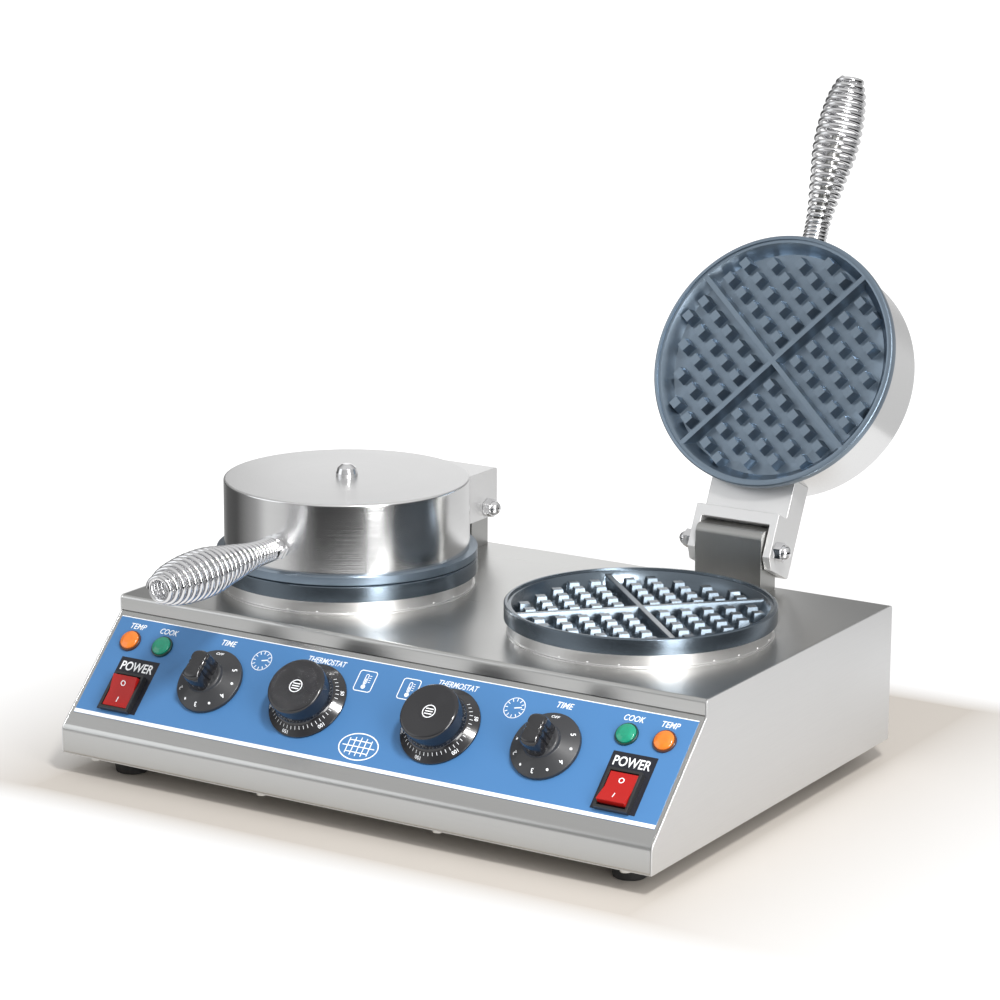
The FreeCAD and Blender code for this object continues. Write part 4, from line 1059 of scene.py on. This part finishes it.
class WAFFLE_OT_finish_frame(bpy.types.Operator):
    """Give every CAD node the finish of its material slot"""

    bl_idname = "waffle.finish_frame"
    bl_label = "Finish the frame"

    def execute(self, context):
        slots = {}
        for part in frame["record"]["subparts"]:
            slots[part["node"]] = part["material_slot"]
        for name, thing in NODES.items():
            finish = BASE_SHEETS.get(name, SLOT_FINISH[slots[name]])
            thing.data.materials.clear()
            thing.data.materials.append(FINISHES[finish])
            thing.data.shade_smooth()
            thing.data.set_sharp_from_angle(angle=math.radians(25))
        return {"FINISHED"}


class WAFFLE_OT_casing(bpy.types.Operator):
    """Soften the casing's sheets, the hinge columns and the feet"""

    bl_idname = "waffle.casing"
    bl_label = "Casing"

    def execute(self, context):
        edge = context.scene.waffle_sheets.sheet_edge / MM
        for node in ("top_deck", "control_panel", "left_side_panel", "right_side_panel"):
            soft_piece(f"{node}_sheet", node, "base", BASE_SHEETS[node], edge, "satin_steel")
        for side_name in SIDES:
            node = f"{side_name}_hinge_column"
            soft_piece(f"{node}_sheet", node, "base", "column_steel", 0.9, "satin_steel", 3)
        soft_piece("rubber_feet", "feet", "base", "rubber_black", 0.8, "black_rubber", 3)
        return {"FINISHED"}


class WAFFLE_OT_stations(bpy.types.Operator):
    """Build the plates' soft edges and the skirts with their punched dots"""

    bl_idname = "waffle.stations"
    bl_label = "Stations"

    def execute(self, context):
        settings = context.scene.waffle_stations
        edge = context.scene.waffle_sheets.plate_edge / MM
        dots = []
        for side_name in SIDES:
            node = f"{side_name}_lower_plate"
            finish, slot = "lower_coat", "coated_iron"
            soft_piece(f"{node}_coated", node, "base", finish, edge, slot, crisp=True)
            low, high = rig.box(f"{side_name}_lower_skirt")
            skirt = (high.x - low.x) / 2 / MM
            top = (high.z - low.z) / MM
            corners = [
                (skirt - 2.7, 0.0),
                (skirt, 0.0),
                (skirt, 0.9, 0.4),
                (skirt - 1.5, 1.2, 1.0),
                (skirt - 1.5, top),
                (skirt - 2.7, top),
            ]
            profile = rounded(corners)
            mesh = lathe(profile, STATIONS[side_name], 192, f"{side_name}_skirt_turned")
            node = f"{side_name}_lower_skirt"
            put(f"{side_name}_skirt_turned", mesh, "base", ["skirt_steel"], [node], "satin_steel")
            size = settings.dot_size / MM
            place = STATIONS[side_name] @ Matrix.Translation((0, 0, settings.dot_height))
            ring = ("Skirt Dots", settings.dots, skirt - 1.5, (0.3, size, 0.6 * size))
            dots.append(circle_of(*ring, "seam_dark", place))
        put("skirt_dots", joined("skirt_dots", dots), "base")
        return {"FINISHED"}


class WAFFLE_OT_lids(bpy.types.Operator):
    """Build the covers, their nuts, the brackets and the upper plates"""

    bl_idname = "waffle.lids"
    bl_label = "Lids"

    def execute(self, context):
        settings = context.scene.waffle_lids
        sheets = context.scene.waffle_sheets
        for side_name in SIDES:
            body = f"{side_name}_lid"
            place = LIDS[side_name] @ Matrix.Translation((0, PLATE_BACK, 0))
            edge = settings.edge / MM
            cup = [
                (COVER_RADIUS - COVER_WALL, COVER_BOTTOM),
                (COVER_RADIUS, COVER_BOTTOM, 0.4),
                (COVER_RADIUS, COVER_TOP, edge),
                (0.0, COVER_TOP),
                (0.0, COVER_TOP - COVER_WALL),
                (COVER_RADIUS - COVER_WALL, COVER_TOP - COVER_WALL),
            ]
            mesh = lathe(rounded(cup, 8), place, settings.segments, f"{body}_cover")
            finish = f"{side_name}_cover_steel"
            node = f"{side_name}_lid_cover"
            put(f"{body}_cover", mesh, body, [finish], [node], "polished_steel")
            dome = [
                (0.0, COVER_TOP),
                (8.2, COVER_TOP),
                (8.2, 51.6, 0.6),
                (6.9, 55.6, 2.0),
                (3.4, 58.4, 2.4),
                (0.0, 58.4),
            ]
            mesh = lathe(rounded(dome), place, 48, f"{body}_domed_nut")
            put(f"{body}_domed_nut", mesh, body, ["chrome"], [f"{side_name}_cover_nut"], "chrome")
            node = f"{side_name}_upper_plate"
            edge = sheets.plate_edge / MM
            soft_piece(f"{node}_coated", node, body, "upper_coat", edge, "coated_iron", crisp=True)
            node = f"{side_name}_hinge_bracket"
            edge = sheets.cast_edge / MM
            soft_piece(f"{node}_cast", node, body, "cast_silver", edge, "cast_silver", 3)
            node = f"{side_name}_pin_nuts"
            soft_piece(f"{node}_plated", node, "base", "chrome", 0.35, "chrome", 2, angle=35.0)
        return {"FINISHED"}


class WAFFLE_OT_handles(bpy.types.Operator):
    """Wind the wire grips and cut their lock nuts"""

    bl_idname = "waffle.handles"
    bl_label = "Handles"

    def execute(self, context):
        settings = context.scene.waffle_grip
        for side_name in SIDES:
            body = f"{side_name}_lid"
            front = Matrix.Translation((0, PLATE_BACK - COVER_RADIUS * MM, HANDLE_HEIGHT * MM))
            place = LIDS[side_name] @ front @ Matrix.Rotation(math.radians(90), 4, "X")
            nut = loft(
                [0.0, 0.6, 3.0, 5.4, NUT_THICKNESS],
                hexagon_reach(17.0, 0.0, NUT_THICKNESS),
                place,
                name=f"{body}_lock_nut",
            )
            node = f"{side_name}_handle_nut"
            put(f"{body}_lock_nut", nut, body, ["chrome"], [node], "chrome")
            start = place @ Matrix.Translation((0, 0, (NUT_THICKNESS + 1.8) * MM))
            wire = coil_mesh(settings, start)
            put(f"{body}_wire_grip", wire, body, nodes=[f"{side_name}_handle_coil"], slot="chrome")
        return {"FINISHED"}


def hexagon_reach(across, bottom, top):
    """The outline of a hexagon nut whose corners are turned off at both ends."""

    def reach(angle, height):
        sector = (angle % math.radians(60)) - math.radians(30)
        flat = across / 2 / math.cos(sector)
        end = min(height - bottom, top - height)
        turned = across / 2 * 1.02 + 1.75 * end
        return min(flat, turned, across / 2 / math.cos(math.radians(28.5)))

    return reach


class WAFFLE_OT_timers(bpy.types.Operator):
    """Turn the timers' dials and grips and print their figures"""

    bl_idname = "waffle.timers"
    bl_label = "Timers"

    def execute(self, context):
        settings = context.scene.waffle_knobs
        for side_name in SIDES:
            body = f"{side_name}_timer"
            place = knob_place(side_name, "timer")
            dial = [
                (0.0, 0.5),
                (26.0, 0.5),
                (26.0, 3.05, 0.8),
                (13.8, 8.9, 1.2),
                (13.0, 12.0, 2.0),
                (0.0, 12.0),
            ]
            parts = [lathe(rounded(dial), place, 128, f"{body}_dial")]
            half = settings.grip_width / 2 / MM
            heights = [8.0, 12.0, 18.0, 23.5, 24.9, 25.8, 26.5, 26.9, 27.0]
            reach = grip_reach(half, settings.groove / MM)
            parts.append(loft(heights, reach, place, 288, f"{body}_grip"))
            parts[0].materials.append(FINISHES["dial_grey"])
            parts[1].materials.append(FINISHES["knob_black"])
            whole = two_finishes(f"{body}_knob_moulded", *parts)
            put(whole.name, whole, body, nodes=[f"{body}_knob"], slot="black_gloss")
            bm = bmesh.new()
            tall = settings.figure_height / MM
            marks = {90: "OFF", 150: "1", 210: "2", 270: "3", 330: "4", 30: "5"}
            slope = math.atan2(8.9 - 3.05, 26.0 - 13.8)
            for angle in range(0, 360, 30):
                if angle not in marks and angle not in (180, 240, 300, 0):
                    continue
                radius = 21.6
                height = 3.05 + (26.0 - radius) * math.tan(slope)
                spot = dial_spot(place, angle, radius, height, slope)
                if angle in marks:
                    size = tall if angle != 90 else 0.75 * tall
                    lettering(bm, marks[angle], size, spot, weight=0.012)
                else:
                    prism(bm, ellipse(1.9, 1.9, steps=20), spot)
            mesh = finished(bm, f"{body}_figures")
            put(mesh.name, mesh, body, ["white_ink"])
        return {"FINISHED"}


def dial_spot(place, angle, radius, height, slope):
    """A place on a dial's cone: X along the rim, Y outwards and down the cone."""
    turn = math.radians(angle - 90)
    spin = Matrix.Rotation(turn, 4, "Z")
    out = Matrix.Translation((0, radius * MM, height * MM))
    return place @ spin @ out @ Matrix.Rotation(-slope, 4, "X")


def grip_reach(half, groove):
    """The outline of the timer's grip: a bar along the slope with grooved sides and round ends."""

    def reach(angle, height):
        lean = 0.055 * (27.0 - height)
        round_end = 12.4 + lean
        side = half + lean
        across = max(abs(math.cos(angle)), 1e-6)
        flat = side / across
        along = flat * abs(math.sin(angle))
        if along < 9:
            for place in (-4.6, 0.0, 4.6):
                signed = along if math.sin(angle) > 0 else -along
                near = abs(signed - place) / 0.95
                if near < 1 and height > 11:
                    flat -= groove * (1 - near * near) / across
        sharp = 9.0
        radius = (flat**-sharp + round_end**-sharp) ** (-1 / sharp)
        top = max(0.0, height - 23.5) / 3.5
        return radius - 2.6 * (1 - math.sqrt(max(0.0, 1 - top * top)))

    return reach


def two_finishes(name, first, second):
    """One mesh from two, each with its own material."""
    whole = bpy.data.meshes.new(name)
    bm = bmesh.new()
    for index, mesh in enumerate((first, second)):
        start = len(bm.faces)
        bm.from_mesh(mesh)
        bm.faces.ensure_lookup_table()
        for face in bm.faces[start:]:
            face.material_index = index
    bm.to_mesh(whole)
    bm.free()
    for mesh in (first, second):
        whole.materials.append(mesh.materials[0])
        bpy.data.meshes.remove(mesh)
    whole.shade_smooth()
    whole.set_sharp_from_angle(angle=math.radians(32))
    return whole


class WAFFLE_OT_thermostats(bpy.types.Operator):
    """Turn the thermostats' knobs and print their scales"""

    bl_idname = "waffle.thermostats"
    bl_label = "Thermostats"

    def execute(self, context):
        settings = context.scene.waffle_knobs
        for side_name in SIDES:
            body = f"{side_name}_thermostat"
            place = knob_place(side_name, "thermostat")
            knob = [
                (0.0, 0.5),
                (30.5, 0.5),
                (30.5, 1.7, 0.5),
                (23.6, 6.4, 0.8),
                (22.5, 7.6, 1.0),
                (22.2, 23.0, 2.2),
                (17.0, 22.6, 6.0),
                (8.0, 21.7, 6.0),
                (0.0, 21.7),
            ]
            mesh = lathe(rounded(knob, 7), place, 160, f"{body}_knob_moulded")
            put(mesh.name, mesh, body, ["knob_black"], [f"{body}_knob"], "black_gloss")
            slope = math.atan2(6.4 - 1.7, 30.5 - 23.6)
            sweep = math.radians(290)
            radius = 25.2
            height = 1.7 + (30.5 - radius) * math.tan(slope)
            turn = Matrix.Rotation(math.radians(-235), 4, "Z")
            spot = place @ Matrix.Translation((0, 0, height * MM)) @ turn
            ring = ("Scale Ticks", settings.ticks, radius, (2.4, 0.34, 0.1))
            ticks = circle_of(*ring, "white_ink", spot, sweep, slope)
            bm = bmesh.new()
            bm.from_mesh(ticks)
            bpy.data.meshes.remove(ticks)
            radius = 28.2
            height = 1.7 + (30.5 - radius) * math.tan(slope)
            for index, figure in enumerate(("50", "100", "150", "200", "250")):
                angle = 20 - 60 * index
                at = dial_spot(place, angle, radius, height, slope)
                lettering(bm, figure, 2.7, at, weight=0.01)
            badge = place @ Matrix.Translation((0, 0, 21.7 * MM))
            prism(bm, ellipse(10.4, 10.4), badge, inner=ellipse(9.0, 9.0))
            for offset in (-2.0, 0.0, 2.0):
                prism(bm, oblong(6.2, 0.8, 0, offset), badge)
            mesh = finished(bm, f"{body}_scale")
            put(mesh.name, mesh, body, ["white_ink"])
        return {"FINISHED"}


class WAFFLE_OT_switches(bpy.types.Operator):
    """Build the rocker switches and the lamps"""

    bl_idname = "waffle.switches"
    bl_label = "Switches and lamps"

    def execute(self, context):
        for side_name in SIDES:
            node = f"{side_name}_switch_frame"
            soft_piece(f"{node}_moulded", node, "base", "switch_black", 0.7, "black_nylon", 3)
            body = f"{side_name}_power"
            node = f"{side_name}_rocker"
            soft_piece(f"{node}_moulded", node, body, "red_plastic", 0.7, "red_rocker", 3)
            self.rocker_marks(side_name, body)
            for lamp, finish, rim in (
                ("temp_lamp", "orange_lens", "orange_rim"),
                ("cook_lamp", "green_lens", "green_rim"),
            ):
                self.lamp(side_name, lamp, finish, rim)
        return {"FINISHED"}

    def rocker_marks(self, side_name, body):
        """The rocker's two moulded signs, on its two tilted halves."""
        pivot = Matrix.Translation(JOINTS[f"{body}_rock"]["pos_m"])
        rest = Matrix.Rotation(-ROCKER_TILT * SIDES[side_name], 4, "X")
        bm = bmesh.new()
        for sign, half in (("O", 1), ("I", -1)):
            spot = Matrix.Translation((0, half * 6.4 * MM, 3.96 * MM))
            face = Matrix.Rotation(ROCKER_TILT * half, 4, "X")
            place = pivot @ PANEL.to_3x3().to_4x4() @ rest @ spot @ face
            lettering(bm, sign, 4.2, place, weight=0.015)
        mesh = finished(bm, f"{side_name}_rocker_signs")
        put(mesh.name, mesh, body, ["white_ink"])

    def lamp(self, side_name, lamp, finish, rim):
        node = f"{side_name}_{lamp}"
        across = middle(node).x
        spot = PANEL @ Matrix.Translation((across, (PANEL_MIDDLE - 25.3) * MM, 0))
        bezel = [(7.2, 0.0), (8.6, 0.0), (8.6, 2.0, 0.7), (7.5, 2.0, 0.3), (7.2, 1.2)]
        lens = [(0.0, 0.2), (7.4, 0.2), (7.4, 3.2, 1.3), (4.0, 4.5, 4.0), (0.0, 4.6)]
        parts = [
            lathe(rounded(bezel), spot, 64, "rim"),
            lathe(rounded(lens, 7), spot, 64, "lens"),
        ]
        parts[0].materials.append(FINISHES[rim])
        parts[1].materials.append(FINISHES[finish])
        whole = two_finishes(f"{node}_lens", *parts)
        put(whole.name, whole, "base", nodes=[node], slot=finish)


# Each word, its distance from the panel's middle and its width.
PANEL_WORDS = (("TEMP", 227, 14), ("COOK", 198.5, 16), ("TIME", 143.5, 13), ("THERMOSTAT", 56, 33))


class WAFFLE_OT_artwork(bpy.types.Operator):
    """Print the control panel"""

    bl_idname = "waffle.artwork"
    bl_label = "Artwork"

    def execute(self, context):
        settings = context.scene.waffle_artwork
        line = settings.line_width / MM
        white, black = bmesh.new(), bmesh.new()
        prism(white, oblong(492, 3.0, 0, -42.4), PANEL)
        prism(white, oblong(492, 0.7, 0, 40.5), PANEL)
        for side in SIDES.values():
            self.words(white, settings, side)
            self.icons(white, line, side)
            across = side * SWITCH_ACROSS
            prism(black, oblong(35, 45.2, across, -15.05), PANEL, -0.05, 0.06)
            spot = PANEL @ Matrix.Translation((across * MM, 0.6 * MM, 0))
            lettering(white, "POWER", 7.6, spot, 29, 0.0, 0.015, 0.0, 0.12)
        self.badge(white, line)
        mesh = finished(black, "label_plates")
        put(mesh.name, mesh, "base", ["black_film"])
        mesh = finished(white, "printed_white")
        put(mesh.name, mesh, "base", ["white_ink"])
        return {"FINISHED"}

    def words(self, bm, settings, side):
        """The words over the lamps and knobs."""
        tall = settings.letter_height / MM
        for words, across, width in PANEL_WORDS:
            spot = PANEL @ Matrix.Translation((side * across * MM, 33.8 * MM, 0))
            lettering(bm, words, tall, spot, width, settings.slant, 0.008)

    def icons(self, bm, line, side):
        """The clock and thermometer drawings."""
        x, y = (106.0 if side > 0 else -110.0), 25.0
        prism(bm, ellipse(16.6, 16.6, x, y), PANEL, inner=ellipse(15.6, 15.6, x, y))
        for step in range(12):
            angle = math.tau * step / 12
            at = (x + 6.4 * math.cos(angle), y + 6.4 * math.sin(angle))
            prism(bm, oblong(2.2, 0.6, *at, angle), PANEL)
        prism(bm, oblong(5.6, 0.9, x + 2.6, y + 0.6, math.radians(14)), PANEL)
        x, y = side * 18.6, 24.1
        outer, inner = soft_oblong(15.2, 17.4, 2.4, x, y), soft_oblong(13.8, 16.0, 1.8, x, y)
        prism(bm, outer, PANEL, inner=inner)
        prism(bm, ellipse(3.6, 3.6, x, y - 4.6, 24), PANEL)
        tube = soft_oblong(2.8, 8.6, 1.3, x, y + 1.6), soft_oblong(1.6, 7.4, 0.75, x, y + 1.6)
        prism(bm, tube[0], PANEL, inner=tube[1])
        prism(bm, oblong(line, 5.0, x, y - 0.4), PANEL)
        for step in range(4):
            prism(bm, oblong(1.6, 0.5, x + 3.0, y - 0.6 + 1.7 * step), PANEL)

    def badge(self, bm, line):
        """A plain oval with a small waffle drawn in it."""
        y = -27.25
        prism(bm, ellipse(33, 22, 0, y), PANEL, inner=ellipse(31.2, 20.2, 0, y))
        for step in range(-2, 3):
            reach = math.sqrt(1 - (step * 4.6 / 15.6) ** 2)
            prism(bm, oblong(line, 15.2 * reach, step * 4.6, y), PANEL)
        for step in range(-1, 2):
            reach = math.sqrt(1 - (step * 4.6 / 10.1) ** 2)
            for piece in range(-3, 3):
                span = 4.6 - line
                x = piece * 4.6 + 2.3
                if abs(x) < 14 * reach - 1:
                    prism(bm, oblong(span - 0.02, line, x, y + step * 4.6), PANEL)


# The room's walls: how light they are at each turn in degrees, from the X axis.
WALLS = (
    (-180, 0.1),
    (-148, 0.5),
    (-136, 1.0),
    (-116, 0.9),
    (-98, 0.3),
    (-82, 0.03),
    (-50, 0.02),
    (-22, 0.02),
    (24, 0.015),
    (38, 0.1),
    (52, 0.9),
    (100, 1.0),
    (130, 0.5),
    (155, 0.15),
    (180, 0.1),
)
# The room's ceiling: the lightness along its slope.
CEILING = ((0.0, 0.03), (0.2, 0.3), (0.6, 0.7), (1.0, 1.0))
FLOOR_RADIUS = 0.62
FLOOR_MIDDLE = (0.03, 0.0, 0.0)
# Half the casing's size across and deep, and how far the soft shadow painted on the floor round it reaches.
SHADE_ACROSS = (0.25, 0.2)
SHADE_DEEP = (0.272, 0.04)
BLACK = (0.0, 0.0, 0.0, 1.0)
WHITE = (1.0, 1.0, 1.0, 1.0)


def grey(shade):
    return (shade, shade, shade)


class WAFFLE_OT_stage(bpy.types.Operator):
    """Set the floor, the lights and the camera"""

    bl_idname = "waffle.stage"
    bl_label = "Stage"

    def execute(self, context):
        settings = context.scene.waffle_stage
        self.camera(context, settings)
        self.floor()
        self.world(context, settings)
        self.light("Key", (1.5, -1.3, 2.3), 0.4, settings.key, (1.0, 0.985, 0.97))
        self.light("Fill", (-2.2, -1.8, 1.3), 2.2, settings.fill, (0.94, 0.97, 1.0))
        self.light("Strip", (1.55, -1.0, 0.55), 0.5, settings.strip, (1.0, 1.0, 1.0), 1.5)
        spot = (-0.66, 1.02, 0.44)
        back = self.light("Back", spot, 0.6, settings.back, (1.0, 1.0, 1.0), 0.6)
        back.visible_camera = False
        context.scene.view_settings.view_transform = "Standard"
        return {"FINISHED"}

    def camera(self, context, settings):
        a, e, r = settings.azimuth, settings.elevation, settings.roll
        back = Vector((math.sin(a) * math.cos(e), -math.cos(a) * math.cos(e), math.sin(e)))
        right = (-back).cross(Vector((0, 0, 1))).normalized()
        up = right.cross(-back)
        across = right * math.cos(r) + up * math.sin(r)
        upward = up * math.cos(r) - right * math.sin(r)
        data = bpy.data.cameras.new("View")
        data.lens = settings.lens
        data.sensor_width = 36
        data.clip_start, data.clip_end = 0.05, 60
        made = bpy.data.objects.new("View", data)
        turn = Matrix((across, upward, back)).transposed().to_4x4()
        made.matrix_world = Matrix.Translation(settings.camera_spot) @ turn
        context.scene.collection.objects.link(made)
        context.scene.camera = made

    def floor(self):
        # The floor glows white away from the casing; round the casing it is painted a warm, darker tone instead, a
        # painted shadow.
        finish = Finish("floor_with_painted_shadow", Specular_IOR_Level=0.1, Emission_Strength=1.0)
        cloud = finish.at.noise(3.0, 2.0)
        beside = finish.at.part("X").beyond(*SHADE_ACROSS)
        before = finish.at.part("Y").beyond(*SHADE_DEEP)
        glow = ((beside * beside + before * before) ** 0.5).clamped() ** 0.7
        # The warm tone of the painted shadow round the casing.
        painted_shadow = cloud.blended(colour((0.5, 0.46, 0.42)), colour((0.53, 0.5, 0.46)))
        finish.varied(
            Base_Color=glow.blended(painted_shadow, colour(grey(0.04))),
            Emission_Color=glow.blended(BLACK, WHITE),
            Roughness=0.6 + 0.1 * cloud,
        )
        bm = bmesh.new()
        place = Matrix.Translation(FLOOR_MIDDLE)
        bmesh.ops.create_circle(bm, cap_ends=True, segments=160, radius=FLOOR_RADIUS, matrix=place)
        mesh = bpy.data.meshes.new("floor")
        bm.to_mesh(mesh)
        bm.free()
        mesh.materials.append(finish.material)
        made = bpy.data.objects.new("floor", mesh)
        made.location.z = -0.0002
        bpy.context.scene.collection.objects.link(made)
        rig.stage(made)

    def world(self, context, settings):
        """A plain white room whose walls are lighter and darker in turn."""
        world = bpy.data.worlds.new("Room")
        world.use_nodes = True
        tree = world.node_tree
        tree.nodes.clear()
        output = tree.nodes.new("ShaderNodeOutputWorld")
        light = tree.nodes.new("ShaderNodeBackground")
        place = Wire(tree, tree.nodes.new("ShaderNodeTexCoord").outputs["Generated"])
        height = place.part("Z")
        side = place.part("X") * 0.85 + place.part("Y") * -0.5
        above = height.clamped()
        slope = (0.34 + 0.22 * side + 0.9 * above * above).clamped()
        stops = [(position, grey(shade)) for position, shade in CEILING]
        ceiling = slope.node("ShaderNodeValToRGB", {"stops": stops}, {0: slope})
        around = height.maths("ARCTAN2", place.part("Y"), place.part("X")) / math.tau + 0.5
        stops = [((degrees + 180) / 360, grey(shade)) for degrees, shade in WALLS]
        walls = around.node("ShaderNodeValToRGB", {"stops": stops}, {0: around})
        shade = ((height + 0.02) * 5.0).clamped().blended(walls, ceiling)
        seen = tree.nodes.new("ShaderNodeLightPath").outputs["Is Camera Ray"]
        both = Wire(tree, seen).blended(shade, WHITE)
        strength = settings.sky + Wire(tree, seen) * (1.25 - settings.sky)
        tree.links.new(both.socket, light.inputs["Color"])
        tree.links.new(strength.socket, light.inputs["Strength"])
        tree.links.new(light.outputs[0], output.inputs["Surface"])
        context.scene.world = world

    def light(self, name, spot, size, power, tone, tall=None):
        data = bpy.data.lights.new(name, "AREA")
        data.shape = "RECTANGLE" if tall else "DISK"
        data.size = size
        if tall:
            data.size_y = tall
        data.energy = power
        data.color = tone
        made = bpy.data.objects.new(name, data)
        aim = Vector((0, -0.05, 0.12)) - Vector(spot)
        facing = aim.to_track_quat("-Z", "Y").to_matrix().to_4x4()
        made.matrix_world = Matrix.Translation(spot) @ facing
        bpy.context.scene.collection.objects.link(made)
        return made


# ---------------------------------------------------------------- panel and registration

OPERATORS = (
    WAFFLE_OT_finish_frame,
    WAFFLE_OT_casing,
    WAFFLE_OT_stations,
    WAFFLE_OT_lids,
    WAFFLE_OT_handles,
    WAFFLE_OT_timers,
    WAFFLE_OT_thermostats,
    WAFFLE_OT_switches,
    WAFFLE_OT_artwork,
    WAFFLE_OT_stage,
)
SETTINGS = {
    "waffle_sheets": WaffleSheetSettings,
    "waffle_stations": WaffleStationSettings,
    "waffle_lids": WaffleLidSettings,
    "waffle_grip": WaffleGripSettings,
    "waffle_knobs": WaffleKnobSettings,
    "waffle_artwork": WaffleArtworkSettings,
    "waffle_stage": WaffleStageSettings,
}


class WAFFLE_PT_panel(bpy.types.Panel):
    """The waffle baker's settings and builders"""

    bl_idname = "WAFFLE_PT_panel"
    bl_label = "Waffle Baker"
    bl_space_type = "VIEW_3D"
    bl_region_type = "UI"
    bl_category = "Waffle Baker"

    def draw(self, context):
        for name, group in SETTINGS.items():
            box = self.layout.box()
            for setting in group.__annotations__:
                box.prop(getattr(context.scene, name), setting)
        for operator in OPERATORS:
            self.layout.operator(operator.bl_idname)


def register():
    for group in SETTINGS.values():
        bpy.utils.register_class(group)
    for name, group in SETTINGS.items():
        setattr(bpy.types.Scene, name, PointerProperty(type=group))
    for operator in OPERATORS:
        bpy.utils.register_class(operator)
    bpy.utils.register_class(WAFFLE_PT_panel)


def unregister():
    bpy.utils.unregister_class(WAFFLE_PT_panel)
    for operator in reversed(OPERATORS):
        bpy.utils.unregister_class(operator)
    for name in SETTINGS:
        delattr(bpy.types.Scene, name)
    for group in reversed(SETTINGS.values()):
        bpy.utils.unregister_class(group)


def main():
    """Builds every piece and the stage, and writes the sizes before and after."""
    register()
    make_finishes()
    bpy.ops.waffle.finish_frame()
    bpy.ops.waffle.casing()
    bpy.ops.waffle.stations()
    bpy.ops.waffle.lids()
    bpy.ops.waffle.handles()
    bpy.ops.waffle.timers()
    bpy.ops.waffle.thermostats()
    bpy.ops.waffle.switches()
    bpy.ops.waffle.artwork()
    bpy.ops.waffle.stage()
    low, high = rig.bounds()
    sizes = {"cad": [list(CAD_LOW), list(CAD_HIGH)], "visual": [list(low), list(high)]}
    with open("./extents.json", "w") as out:
        json.dump(sizes, out, indent=1)


if __name__ == "__main__":
    main()
